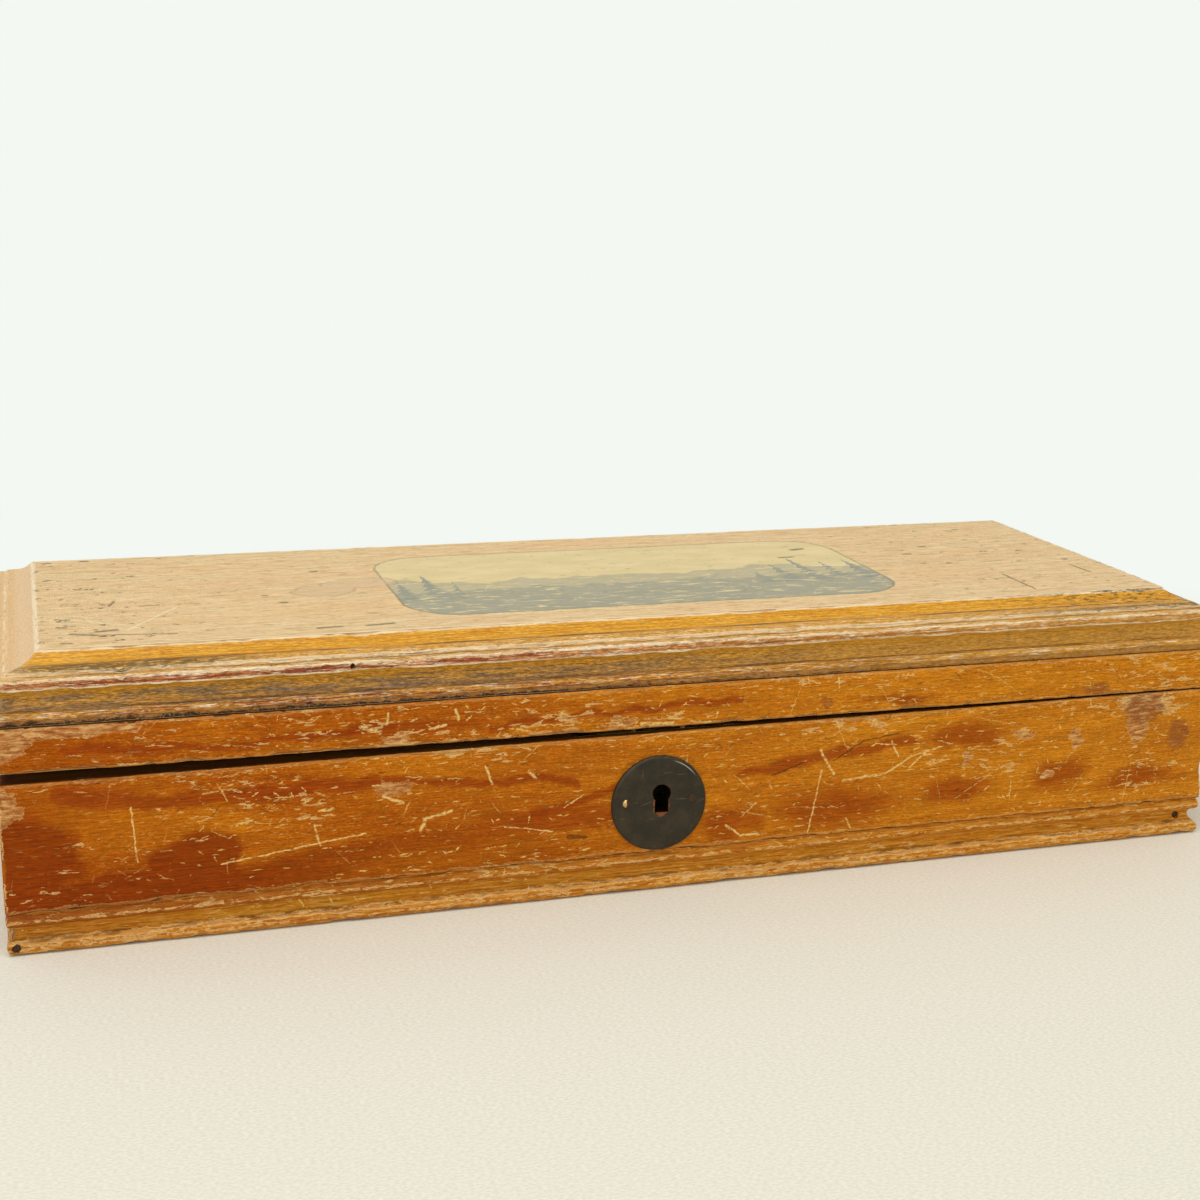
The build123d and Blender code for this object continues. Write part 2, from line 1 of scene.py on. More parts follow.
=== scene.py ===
# %% [markdown]
# # An old ditty box
#
# The box keeps pencils, letters and small treasures. Its walls are pine boards, mitred
# at the corners, with a moulded foot. A hinged lid carries a moulded top board, and a
# small lock hides behind an iron keyhole plate. Everything wooden was varnished amber
# and has been rubbed, knocked and scratched for a hundred years.
#
# The construction already exists as a frame of exact solids. This lesson only dresses
# it: each board is built again as a dense mesh whose arrises can wear and chip, and
# every surface gets a finish made of nodes. Nothing moves or changes size.

import json
from itertools import product
from math import asin, cos, degrees, pi, radians, sin

import bpy
import numpy as np
from mathutils import Matrix, Vector


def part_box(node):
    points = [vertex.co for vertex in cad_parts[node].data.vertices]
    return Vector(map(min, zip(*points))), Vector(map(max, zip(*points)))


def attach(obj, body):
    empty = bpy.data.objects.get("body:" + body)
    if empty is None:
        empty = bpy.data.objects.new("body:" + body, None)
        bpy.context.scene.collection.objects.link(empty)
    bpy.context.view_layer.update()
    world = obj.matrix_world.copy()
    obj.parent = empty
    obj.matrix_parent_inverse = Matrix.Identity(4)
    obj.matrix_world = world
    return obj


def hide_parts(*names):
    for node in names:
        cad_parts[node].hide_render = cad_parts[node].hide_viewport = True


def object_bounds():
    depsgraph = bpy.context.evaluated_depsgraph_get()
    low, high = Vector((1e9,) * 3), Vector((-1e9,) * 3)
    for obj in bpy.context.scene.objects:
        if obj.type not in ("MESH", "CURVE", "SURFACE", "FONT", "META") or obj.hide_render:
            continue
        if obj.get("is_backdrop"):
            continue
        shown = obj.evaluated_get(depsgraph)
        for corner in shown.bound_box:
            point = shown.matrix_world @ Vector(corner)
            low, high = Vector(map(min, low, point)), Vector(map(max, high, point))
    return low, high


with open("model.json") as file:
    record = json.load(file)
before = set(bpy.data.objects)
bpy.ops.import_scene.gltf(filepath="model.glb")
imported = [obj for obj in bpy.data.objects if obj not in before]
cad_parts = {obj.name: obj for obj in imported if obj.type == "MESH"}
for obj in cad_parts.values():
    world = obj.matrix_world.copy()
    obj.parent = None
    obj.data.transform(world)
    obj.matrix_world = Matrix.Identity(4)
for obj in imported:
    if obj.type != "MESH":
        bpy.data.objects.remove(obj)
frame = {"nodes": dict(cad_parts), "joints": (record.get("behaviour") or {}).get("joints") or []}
frame_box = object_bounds()
print("frame", [[round(value, 4) for value in corner] for corner in frame_box])

# %% [markdown]
# ## Sizes taken from the frame
#
# A joiner marks every board from the same few lines, and so does this script. The
# length, depth and height come from the framed boards, and the lid's small cant comes
# from the hinge's axis, so a change of size in the frame is followed here. All working
# sizes are in millimetres, and a mesh is scaled to metres when it is made.

# %% Read the driving sizes
MM = 0.001


def size_of(node):
    """Low and high corner of a framed piece, in millimetres."""
    low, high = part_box(node)
    return np.array(low) / MM, np.array(high) / MM


front_low, front_high = size_of("box_front")
end_low, end_high = size_of("box_left_end")
length = front_high[0] - front_low[0]
depth = end_high[1] - end_low[1]
body_height = front_high[2]
wall = front_high[1] - front_low[1]

lid_hinge = next(joint for joint in frame["joints"] if joint["name"] == "lid_hinge")
hinge_place = np.array(lid_hinge["pos_m"]) / MM
hinge_cant = asin(lid_hinge["axis"][2])
cant = 2 * hinge_cant
seam_middle = 2 * (hinge_place[2] - body_height)
print(f"case {length:.1f} x {depth:.1f} x {body_height:.1f}, wall {wall:.1f}")
print(f"lid canted {degrees(cant):.3f} degrees, seam {seam_middle:.2f} at its middle")

# %% [markdown]
# ## Two working frames and four sides
#
# Boards are drawn on the bench, not in mid air: each one is laid out along its own side,
# with a place *along* it, an *inset* from its outer face and a *level* above its seat.
# Turning a side about the upright axis puts the board in its case or lid, and one more
# small turn gives the lid its cant. Every helper below works in those bench words.

# %% Frames and sides
FRONT, RIGHT, BACK, LEFT = 0, 90, 180, 270
ALL_SIDES, LONG_SIDES = (FRONT, RIGHT, BACK, LEFT), (FRONT, BACK)


def canted(angle, origin):
    """Turn about the depth axis that lifts the left end, and where the frame starts."""
    turn = np.array([[cos(angle), 0, sin(angle)], [0, 1, 0], [-sin(angle), 0, cos(angle)]])
    return turn, np.array(origin, float)


FRAMES = {
    "box": canted(0, (0, 0, 0)),
    "lid": canted(cant, (0, 0, body_height + seam_middle)),
    "hinge": canted(hinge_cant, hinge_place),
}


def side_reach(side):
    """Distance from the middle to a side's outer face, and half its run."""
    return (depth / 2, length / 2) if side in LONG_SIDES else (length / 2, depth / 2)


def to_piece(bench, side):
    """Bench points (along, inset, level) of a side, as points of the case or lid."""
    outer, _ = side_reach(side)
    turn = radians(side)
    along, out = bench[:, 0], bench[:, 1] - outer
    x = along * cos(turn) - out * sin(turn)
    y = along * sin(turn) + out * cos(turn)
    return np.column_stack((x, y, bench[:, 2]))


def to_bench(points, side):
    """The way back: points of the case or lid, as bench points of a side."""
    outer, _ = side_reach(side)
    turn = radians(-side)
    along = points[:, 0] * cos(turn) - points[:, 1] * sin(turn)
    inset = points[:, 0] * sin(turn) + points[:, 1] * cos(turn) + outer
    return np.column_stack((along, inset, points[:, 2]))


def to_world(points, body):
    """Points of a piece's own frame, as points of the world."""
    turn, origin = FRAMES[body]
    return points @ turn.T + origin


def from_world(points, body):
    """The way back: world points, as points of a piece's own frame."""
    turn, origin = FRAMES[body]
    return (points - origin) @ turn


# %% [markdown]
# ## Hand-worn randomness
#
# Wear looks real when it is uneven but never jumps. Blender's texture nodes can colour
# such unevenness, but here it must also push the mesh, so the script has its own small
# noise: fixed values on a lattice, blended smoothly between lattice points. The seed is
# a plain number, so every run gives the same chips.

# %% Smooth lattice noise
LATTICE_PRIMES = (73856093, 19349663, 83492791)
SEED_PRIME, STIR = 2654435761, 1274126177
HASH_SPAN, LOW_BITS = 1 << 16, 0xFFFFFFFF
SEED_SHIFT = 0.37


def unevenness(points, size, seed):
    """Smooth noise from 0 to 1 at points in mm, with features about size mm across."""
    scaled = points / np.array(size, float) + seed * SEED_SHIFT
    base = np.floor(scaled).astype(np.int64)
    part = scaled - base
    part = part * part * (3 - 2 * part)
    total = np.zeros(len(points))
    for corner in product((0, 1), repeat=3):
        cell = (base + corner) * LATTICE_PRIMES
        key = cell[:, 0] ^ cell[:, 1] ^ cell[:, 2] ^ (seed * SEED_PRIME)
        key = ((key ^ (key >> 13)) * STIR) & LOW_BITS
        value = ((key ^ (key >> 16)) % HASH_SPAN) / (HASH_SPAN - 1)
        weight = np.where(corner, part, 1 - part).prod(axis=1)
        total += value * weight
    return total


sample = unevenness(np.random.default_rng(3).uniform(-99, 99, (4000, 3)), (5, 5, 5), 1)
print(f"noise spans {sample.min():.2f} to {sample.max():.2f}, mean {sample.mean():.2f}")

# %% [markdown]
# ## Drawing a moulding
#
# A moulding is one profile planed along the whole board. On the bench the joiner cuts
# it in named strokes: foot, cove, bead, quirk and the plain frieze above. The same
# strokes are drawn here as short lines and three-point arcs, closely sampled so that
# the surface can wear between its arrises. Measuring along the profile gives each
# stroke a *reach*, which the varnish uses later to know where it is.


# %% Lines and arcs of a profile
def straight(start, end, pitch):
    """Points from start to end, the start left out, no further apart than pitch."""
    start, end = np.array(start, float), np.array(end, float)
    count = max(1, int(np.ceil(np.linalg.norm(end - start) / pitch)))
    return [start + (end - start) * n / count for n in range(1, count + 1)]


def arc(start, through, end, pitch):
    """Points on the circle through three points, from start to end, start left out."""
    (ax, ay), (bx, by), (cx, cy) = start, through, end
    twice = 2 * (ax * (by - cy) + bx * (cy - ay) + cx * (ay - by))
    squares = [ax * ax + ay * ay, bx * bx + by * by, cx * cx + cy * cy]
    centre = np.array((
        (squares[0] * (by - cy) + squares[1] * (cy - ay) + squares[2] * (ay - by)) / twice,
        (squares[0] * (cx - bx) + squares[1] * (ax - cx) + squares[2] * (bx - ax)) / twice,
    ))
    angles = [np.arctan2(p[1] - centre[1], p[0] - centre[0]) for p in (start, through, end)]
    unwrapped = np.unwrap(angles)
    radius = np.hypot(ax - centre[0], ay - centre[1])
    count = max(3, int(np.ceil(abs(unwrapped[2] - unwrapped[0]) * radius / pitch)))
    steps = np.linspace(unwrapped[0], unwrapped[2], count + 1)[1:]
    return [centre + radius * np.array((np.cos(a), np.sin(a))) for a in steps]


def eased(start, end, pitch, close=(0.12, 0.35, 0.8)):
    """A straight run with extra points close to both of its ends."""
    start, end = np.array(start, float), np.array(end, float)
    span = np.linalg.norm(end - start)
    ahead = (end - start) / span
    near = [start + ahead * gap for gap in close]
    far = [end - ahead * gap for gap in reversed(close)]
    return near + straight(near[-1], far[0], pitch)[:-1] + far + [end]


def profile(start, strokes):
    """Chains named strokes, each from where the last one ended, and notes where it ends."""
    points, stroke_ends = [np.array(start, float)], {}
    for name, draw, *places, pitch in strokes:
        points += draw(start, *places, pitch)
        start = places[-1]
        stroke_ends[name] = len(points) - 1
    return np.array(points), stroke_ends


def reaches(points, zero_point, zero_level):
    """Length measured along a profile, set so that it reads zero_level at one point."""
    steps = np.linalg.norm(np.diff(points, axis=0), axis=1)
    reach = np.concatenate(((0,), np.cumsum(steps)))
    return reach - reach[zero_point] + zero_level

# %% [markdown]
# ## The three profiles
#
# The case wall has a rounded foot, a cove, a bead and a narrow quirk under its frieze.
# The lid's rail is a plain strip. The lid board steps back over a joint groove, then
# carries a bead, a deep cove, a fillet, a sloping ledge with a small step, and a
# hollow bevel up to the raised panel. The sizes are those the moulding plane would be
# ground to.

# %% Moulding sizes and profiles
BOTTOM_THICK, REBATE = 4.0, 4.0
FOOT_TOP, FOOT_TOE, FOOT_NECK = 3.2, 0.9, 0.5
COVE_TOP, COVE_DEPTH = 6.2, 2.0
BEAD_TOP, BEAD_NECK = 9.1, 1.5
QUIRK_HEIGHT, QUIRK_DEPTH = 0.5, 0.8
RAIL_HEIGHT = 10.0
JOINT_HEIGHT, JOINT_DEPTH = 0.9, 0.9
LID_BEAD_HEIGHT, LID_BEAD_NECK = 2.2, 0.6
LID_COVE_HEIGHT, LID_COVE_DEPTH = 4.5, 2.2
FILLET_HEIGHT, ARRIS = 2.4, 0.3
LEDGE_WIDTH, LEDGE_RISE, LEDGE_STEP = 5.7, 1.7, 0.25
BEVEL_WIDTH, BEVEL_RISE, BEVEL_HOLLOW = 3.6, 2.5, 0.3
FINE, PLAIN, HIDDEN = 0.34, 0.8, 4.0


def between(low, high):
    return (low + high) / 2


quirk_top = BEAD_TOP + QUIRK_HEIGHT
case_profile, case_ends = profile((FOOT_TOE, 0), (
    ("foot", arc, (0, FOOT_TOP / 2), (FOOT_NECK, FOOT_TOP), FINE),
    ("cove", arc, (COVE_DEPTH, between(FOOT_TOP, COVE_TOP)), (BEAD_NECK, COVE_TOP), FINE),
    ("bead", arc, (0, between(COVE_TOP, BEAD_TOP)), (QUIRK_DEPTH, BEAD_TOP), FINE),
    ("quirk", straight, (0, quirk_top), FINE),
    ("frieze", eased, (0, body_height), PLAIN),
    ("lip", eased, (wall, body_height), PLAIN * 2),
    ("inside", straight, (wall, BOTTOM_THICK), HIDDEN),
    ("rebate", straight, (wall - REBATE, BOTTOM_THICK), HIDDEN),
    ("sole", straight, (wall - REBATE, 0), HIDDEN),
))
case_reach = reaches(case_profile, case_ends["quirk"], quirk_top)

rail_profile, rail_ends = profile((0, 0), (
    ("frieze", eased, (0, RAIL_HEIGHT), PLAIN),
    ("top", straight, (wall, RAIL_HEIGHT), PLAIN * 2),
    ("inside", straight, (wall, 0), HIDDEN),
    ("lip", eased, (0, 0), PLAIN * 2),
))
rail_profile = rail_profile[:-1]  # its last point is its first one again
rail_ends["lip"] -= 1
RAIL_ZERO = 60.0
rail_reach = reaches(rail_profile, 0, RAIL_ZERO)

joint_top = RAIL_HEIGHT + JOINT_HEIGHT
lid_bead_top = joint_top + LID_BEAD_HEIGHT
lid_cove_top = lid_bead_top + LID_COVE_HEIGHT
fillet_top = lid_cove_top + FILLET_HEIGHT
ledge_top = fillet_top + LEDGE_RISE
panel_inset = LEDGE_WIDTH + BEVEL_WIDTH
lid_height = ledge_top + BEVEL_RISE
step_inset, step_level = LEDGE_WIDTH / 2, fillet_top + LEDGE_RISE / 2
bevel_middle = (between(LEDGE_WIDTH, panel_inset) + BEVEL_HOLLOW,
                between(ledge_top, lid_height) - BEVEL_HOLLOW)

top_profile, top_ends = profile((JOINT_DEPTH, RAIL_HEIGHT), (
    ("joint", straight, (JOINT_DEPTH, joint_top), FINE),
    ("bead", arc, (0, between(joint_top, lid_bead_top)), (LID_BEAD_NECK, lid_bead_top), FINE),
    ("cove", arc, (LID_COVE_DEPTH, between(lid_bead_top, lid_cove_top)), (0, lid_cove_top), FINE),
    ("fillet", straight, (0, fillet_top - ARRIS), FINE),
    ("arris", straight, (ARRIS, fillet_top), FINE),
    ("lower_ledge", straight, (step_inset, step_level - LEDGE_STEP / 2), FINE),
    ("step", straight, (step_inset, step_level + LEDGE_STEP / 2), FINE),
    ("upper_ledge", straight, (LEDGE_WIDTH, ledge_top), FINE),
    ("bevel", arc, bevel_middle, (panel_inset, lid_height), FINE),
))
top_reach = reaches(top_profile, 0, RAIL_HEIGHT)
top_marks = {name: top_reach[place] for name, place in top_ends.items()}
case_marks = {name: case_reach[place] for name, place in case_ends.items()}
rail_marks = {name: rail_reach[place] for name, place in rail_ends.items()}
print("case strokes end at", {name: round(reach, 1) for name, reach in case_marks.items()})
print("lid strokes end at", {name: round(reach, 1) for name, reach in top_marks.items()})

# %% [markdown]
# ## What wears first
#
# Hands, tables and other boxes touch the outermost lines: the lips of the seam, the
# edges of each moulding and the crown of every bead. Each profile therefore lists its
# arrises, and its crowns, which wear a little less. Wood is only ever lost, so every
# wear depth pushes inwards and a board never grows out of its place.

# %% Arrises, crowns and the depth of wear
EDGES = {
    "case": [(FOOT_TOE, 0), (FOOT_NECK, FOOT_TOP), (0, quirk_top), (0, body_height)],
    "rail": [(0, 0), (0, RAIL_HEIGHT)],
    "top": [(JOINT_DEPTH, joint_top), (0, lid_cove_top), (0, fillet_top),
            (step_inset, step_level), (panel_inset, lid_height)],
}
CROWNS = {
    "case": [(0, FOOT_TOP / 2), (0, between(COVE_TOP, BEAD_TOP))],
    "rail": [],
    "top": [(0, between(joint_top, lid_bead_top))],
}
PROFILES = {
    "case": (case_profile, case_reach),
    "rail": (rail_profile, rail_reach),
    "top": (top_profile, top_reach),
}
CROWN_SHELTER, CORNER_SHELTER = 0.45, 0.1
CHIP_DEPTH, CHIP_SIZE, CHIP_START, CHIP_REACH = 0.75, (6.5, 6.5, 3.0), 0.56, 1.1
NIBBLE_DEPTH, NIBBLE_SIZE, NIBBLE_START, NIBBLE_REACH = 0.55, (1.9, 1.9, 1.4), 0.5, 0.65
ROUNDING, ROUNDING_REACH = 0.16, 0.3
SWAY, SWAY_SIZE = 0.12, (45, 45, 20)
FIBRE, FIBRE_SIZE, FIBRE_PLACE = 0.035, (14, 0.8, 0.8), (0, 0, 37)
LID_PLACE = 500
CHIPS, NIBBLES, SWAYING, FIBRES, CUPPING, BRUISING, PANEL_FIBRES, DENTS, BUCKLES = range(1, 10)


def arris_distance(bench, side, kind):
    """Distance in mm from each bench point to the nearest line that wears."""
    _, run = side_reach(side)
    inset, level = bench[:, 1], bench[:, 2]
    corner = np.hypot(run - np.abs(bench[:, 0]), inset) + CORNER_SHELTER
    near = corner
    for edge_inset, edge_level in EDGES[kind]:
        near = np.minimum(near, np.hypot(inset - edge_inset, level - edge_level))
    for crown_inset, crown_level in CROWNS[kind]:
        crown = np.hypot(inset - crown_inset, level - crown_level) + CROWN_SHELTER
        near = np.minimum(near, crown)
    return near


def faded(distance, reach):
    return np.exp(-((distance / reach) ** 2))


def over(values, threshold):
    """How far values stand over a threshold, scaled to reach 1."""
    return np.clip((values - threshold) / (1 - threshold), 0, 1)


def wear_depth(points, bench, side, kind, body):
    """Wood lost at each point, in mm, by knocks on the arrises and by long use."""
    spots = points + (LID_PLACE if body == "lid" else 0)
    near = arris_distance(bench, side, kind)
    chips = over(unevenness(spots, CHIP_SIZE, CHIPS), CHIP_START) * faded(near, CHIP_REACH)
    nibbles = over(unevenness(spots, NIBBLE_SIZE, NIBBLES), NIBBLE_START) * faded(near, NIBBLE_REACH)
    sway = unevenness(spots, SWAY_SIZE, SWAYING)
    fibre = unevenness(bench + FIBRE_PLACE, FIBRE_SIZE, FIBRES)
    knocked = CHIP_DEPTH * chips + NIBBLE_DEPTH * nibbles + ROUNDING * faded(near, ROUNDING_REACH)
    return knocked + SWAY * sway + FIBRE * fibre


# %% [markdown]
# ## Sweeping a board
#
# A board could be a stretched cube with a bevel, but then its moulding, mitres and
# worn lips would all be missing. Instead the profile is repeated at many stations
# along the run. Each station slides in by its own inset at the ends, which cuts the
# mitre, and each point is pushed in by its wear. Two boards that meet at a corner share
# the same noise there, so a knocked corner stays closed.

# %% Stations, swept boards and their meshes
STATION_PITCH = {"case": 0.8, "rail": 0.8, "top": 1.0}
SHARPEST, UNTOUCHED = 0.2, 0.5
CLOSE_TO_MITRE = (0.12, 0.3, 0.6, 1.0, 1.5)


def stations(run, pitch):
    """Places along a board from -1 to 1, closer together near both mitres."""
    inner = run - CLOSE_TO_MITRE[-1]
    middle = np.linspace(-inner, inner, int(2 * inner / pitch) + 1)
    last = run - np.array(CLOSE_TO_MITRE[-2::-1])
    whole = np.concatenate(((-run,), -last[::-1], middle, last, (run,)))
    return whole / run


def outward(points, closed):
    """Outward normals of a profile, the outside being on the left of its run."""
    if closed:
        ahead, behind = np.roll(points, -1, axis=0), np.roll(points, 1, axis=0)
    else:
        ahead = np.vstack((points[1:], points[-1:]))
        behind = np.vstack((points[:1], points[:-1]))
    first = points - behind
    second = ahead - points
    for step in (first, second):
        lengths = np.linalg.norm(step, axis=1)
        step /= np.where(lengths > 0, lengths, 1)[:, None]
    run = first + second
    run /= np.maximum(np.linalg.norm(run, axis=1), SHARPEST)[:, None]
    return np.column_stack((-run[:, 1], run[:, 0]))


def swept(kind, side, body, closed=True):
    """Worn world points of a profile swept along a side, and the unworn bench points."""
    section, _ = PROFILES[kind]
    _, run = side_reach(side)
    places = stations(run, STATION_PITCH[kind])
    normals = outward(section, closed)
    grid_t, grid_k = np.meshgrid(places, np.arange(len(section)), indexing="ij")
    t, k = grid_t.ravel(), grid_k.ravel()
    inset, level = section[k, 0], section[k, 1]
    bench = np.column_stack((t * (run - inset), inset, level))
    lost = wear_depth(to_piece(bench, side), bench, side, kind, body)
    lost = np.where(inset < wall - REBATE - UNTOUCHED, lost, 0) if closed else lost
    inset = inset - normals[k, 0] * lost
    level = level - normals[k, 1] * lost
    worn = np.column_stack((t * (run - inset), inset, level))
    return to_piece(worn, side), to_piece(bench, side), (len(places), len(section))


def strip_faces(shape, closed):
    """Quads between neighbouring stations and neighbouring profile points."""
    rows, columns = shape
    index = np.arange(rows * columns).reshape(rows, columns)
    if closed:
        index = np.column_stack((index, index[:, 0]))
    a, b = index[:-1, :-1], index[:-1, 1:]
    c, d = index[1:, 1:], index[1:, :-1]
    return np.stack((a, d, c, b), axis=-1).reshape(-1, 4)


def new_object(name, points, faces):
    """A mesh object from points of the world, in mm."""
    mesh = bpy.data.meshes.new(name)
    mesh.from_pydata(points * MM, [], faces)
    made = bpy.data.objects.new(name, mesh)
    bpy.context.scene.collection.objects.link(made)
    return made


def as_object(name, points, faces, body):
    """A board's object, from points in its piece's own frame."""
    made = new_object(name, to_world(points, body), faces)
    made.data.validate()
    return made


def board(name, kind, side, body):
    """A closed mitred board, to stand in for the framed node of the same name."""
    worn, _, shape = swept(kind, side, body)
    faces = strip_faces(shape, closed=True).tolist()
    rows, columns = shape
    faces.append(list(range(columns)))
    faces.append(list(range((rows - 1) * columns, rows * columns))[::-1])
    made = as_object(name + "_worn", worn, faces, body)
    print(f"{made.name}: {len(made.data.vertices)} points, {len(made.data.polygons)} faces")
    return made


# %% [markdown]
# ## The case and the rails of the lid
#
# Four boards make the case and four plain rails hang under the lid board. They are
# made in pairs of opposite sides, all from the same two profiles.

# %% Make the boards
SIDES = {"front": FRONT, "right_end": RIGHT, "back": BACK, "left_end": LEFT}
case_boards = {
    name: board(f"box_{name}", "case", side, "box") for name, side in SIDES.items()
}
RAIL_SIDES = {"front": FRONT, "right": RIGHT, "back": BACK, "left": LEFT}
lid_rails = {
    name: board(f"lid_{name}_rail", "rail", side, "lid") for name, side in RAIL_SIDES.items()
}

# %% [markdown]
# ## The lid board
#
# One wide board makes the top of the lid, with the moulding planed round all four
# edges. It is swept like the rails, once for each side, and the four strips are welded
# along their mitres. The raised panel between them is a fine sheet of quads that meets
# every strip point for point, so it can carry its own shallow hollows and bruises.

# %% Make the lid board
PANEL_CUP, CUP_SIZE = 0.18, (60, 35, 60)
PANEL_DENT, DENT_SIZE, DENT_START = 0.1, (5, 3, 5), 0.6
PANEL_FIBRE_SIZE = (16, 0.9, 9)
WELD_DIGITS = 4


def panel_wear(spots):
    """How far the bare panel has sunk: a slow cup, and bruises that follow the grain."""
    cup = unevenness(spots, CUP_SIZE, CUPPING)
    bruises = over(unevenness(spots, DENT_SIZE, BRUISING), DENT_START)
    fibre = unevenness(spots, PANEL_FIBRE_SIZE, PANEL_FIBRES)
    return PANEL_CUP * cup + PANEL_DENT * bruises + FIBRE * fibre


def panel_sheet():
    """Points of the panel inside its bevel, on the same stations as the strips."""
    xs = stations(length / 2, STATION_PITCH["top"]) * (length / 2 - panel_inset)
    ys = stations(depth / 2, STATION_PITCH["top"]) * (depth / 2 - panel_inset)
    grid_x, grid_y = np.meshgrid(xs, ys, indexing="ij")
    flat = np.column_stack((grid_x.ravel(), grid_y.ravel(), np.full(grid_x.size, lid_height)))
    worn = flat - np.outer(panel_wear(flat), (0, 0, 1))
    return worn, flat, strip_faces((len(xs), len(ys)), closed=False)


def lid_board():
    """The whole lid board as one closed mesh."""
    worn_parts, flat_parts, faces, rim, start = [], [], [], [], 0
    for side in ALL_SIDES:
        worn, flat, shape = swept("top", side, "lid", closed=False)
        worn_parts.append(worn)
        flat_parts.append(flat)
        faces.append(strip_faces(shape, closed=False) + start)
        rim += [start + row * shape[1] for row in range(shape[0] - 1)]
        start += len(worn)
    worn, flat, sheet = panel_sheet()
    worn_parts.append(worn)
    flat_parts.append(flat)
    faces.append(sheet + start)
    keys = np.round(np.vstack(flat_parts), WELD_DIGITS)
    _, first, joined = np.unique(keys, axis=0, return_index=True, return_inverse=True)
    points = np.vstack(worn_parts)[first]
    quads = joined.ravel()[np.vstack(faces)].tolist()
    underside = joined.ravel()[rim[::-1]].tolist()
    return as_object("lid_top_worn", points, quads + [underside], "lid")


lid_top = lid_board()
print(f"lid board: {len(lid_top.data.vertices)} points, {len(lid_top.data.polygons)} faces")

# %% [markdown]
# ## Cutting the beds
#
# Lock, hinges, pins and keyhole all sit in beds chopped out of the boards. On the bench
# this is chisel work, in Blender it is a boolean: a cutter the size of the fitting plus
# its clearance is taken away from the board. The cutters are measured from the framed
# fittings, so each fitting drops into its bed exactly.

# %% Cutters
CLEARANCE, BEYOND = 0.1, 3.0
LOCK_SHEET, LEAF_BACK = 0.9, 1.1
BARREL_ROOM, BARREL_RUN, STOP_BEVEL = 1.9, 26.4, 52.0
KEY_LOBE, KEY_SLOT, KEY_SLOT_DROP, KEY_ROOM = 2.2, 3.3, 4.6, 0.25
WHOLE_WORLD = (np.eye(3), np.zeros(3))


def cutter(points, faces, placed):
    """A mesh that will be taken away from a board."""
    turn, origin = placed
    return new_object("cutter", np.array(points, float) @ turn.T + origin, faces)


def block(low, high, placed=WHOLE_WORLD):
    corners = [(x, y, z) for x in (low[0], high[0]) for y in (low[1], high[1])
               for z in (low[2], high[2])]
    faces = [(0, 1, 3, 2), (4, 6, 7, 5), (0, 4, 5, 1), (2, 3, 7, 6), (0, 2, 6, 4), (1, 5, 7, 3)]
    return cutter(corners, faces, placed)


def prism(outline, low, high, placed=WHOLE_WORLD):
    """An outline of (x, z) points pushed through from y low to y high."""
    count = len(outline)
    points = [(x, y, z) for y in (low, high) for x, z in outline]
    sides = [(n, n + count, (n + 1) % count + count, (n + 1) % count) for n in range(count)]
    return cutter(points, sides + [tuple(range(count)), tuple(range(count, 2 * count))[::-1]], placed)


def circle(centre, radius, count=40, start=0.0, turn=2 * pi):
    steps = start + turn * np.arange(count) / count
    return [(centre[0] + radius * np.cos(a), centre[1] + radius * np.sin(a)) for a in steps]


def carved(made, cutters):
    """Takes every cutter out of a board, and throws the cutters away."""
    for tool in cutters:
        step = made.modifiers.new("cut", "BOOLEAN")
        step.operation, step.solver, step.object = "DIFFERENCE", "MANIFOLD", tool
    settled = made.evaluated_get(bpy.context.evaluated_depsgraph_get())
    mesh = bpy.data.meshes.new_from_object(settled)
    made.modifiers.clear()
    made.data = mesh
    for tool in cutters:
        bpy.data.objects.remove(tool)
    print(f"{made.name}: {len(cutters)} cuts, {len(mesh.polygons)} faces")


# %% [markdown]
# The lock lies in three beds, one inside the other: for its plate, for the lip of that
# plate in the seam, and for the deeper cap. The keyhole goes right through the wall
# and is a little wider there than in the keyhole plate.

# %% Beds of the lock and of its keyhole
KEY_DROP, LOCK_X = 14.3, 0.5
plate_low, plate_high = size_of("lock_plate")
cap_low, cap_high = size_of("lock_cap")
wall_back = -depth / 2 + wall
key_centre = (LOCK_X, body_height - KEY_DROP)


def keyhole_outline(grow=0.0, count=32):
    """Keyhole seen from the front: a round lobe above a straight slot."""
    lobe, half = KEY_LOBE + grow, KEY_SLOT / 2 + grow
    shoulder = np.arccos(half / lobe)
    steps = np.linspace(-shoulder, pi + shoulder, count)
    points = [(lobe * np.cos(a), lobe * np.sin(a)) for a in steps]
    points += [(-half, -KEY_SLOT_DROP - grow), (half, -KEY_SLOT_DROP - grow)]
    return [(key_centre[0] + x, key_centre[1] + z) for x, z in points]


def ragged(outline, amount, seed):
    """The same outline with each corner nudged a little, as a torn hole has."""
    nudges = np.random.default_rng(seed).uniform(-amount, amount, (len(outline), 2))
    return [tuple(point) for point in np.array(outline) + nudges]


bed_left, bed_right = plate_low[0] - CLEARANCE, plate_high[0] + CLEARANCE
carved(case_boards["front"], [
    block((bed_left, wall_back - LOCK_SHEET, plate_low[2] - CLEARANCE),
          (bed_right, wall_back + BEYOND, body_height + BEYOND)),
    block((bed_left, plate_low[1] - CLEARANCE, body_height - LOCK_SHEET),
          (bed_right, wall_back + BEYOND, body_height + BEYOND)),
    block(cap_low - CLEARANCE, (cap_high[0] + CLEARANCE, wall_back + BEYOND, body_height + BEYOND)),
    prism(keyhole_outline(KEY_ROOM), -depth / 2 - BEYOND, wall_back),
])
carved(lid_rails["front"], [
    block((bed_left, plate_low[1] - CLEARANCE, -BEYOND),
          (bed_right, wall_back + BEYOND, LOCK_SHEET), FRAMES["lid"]),
])

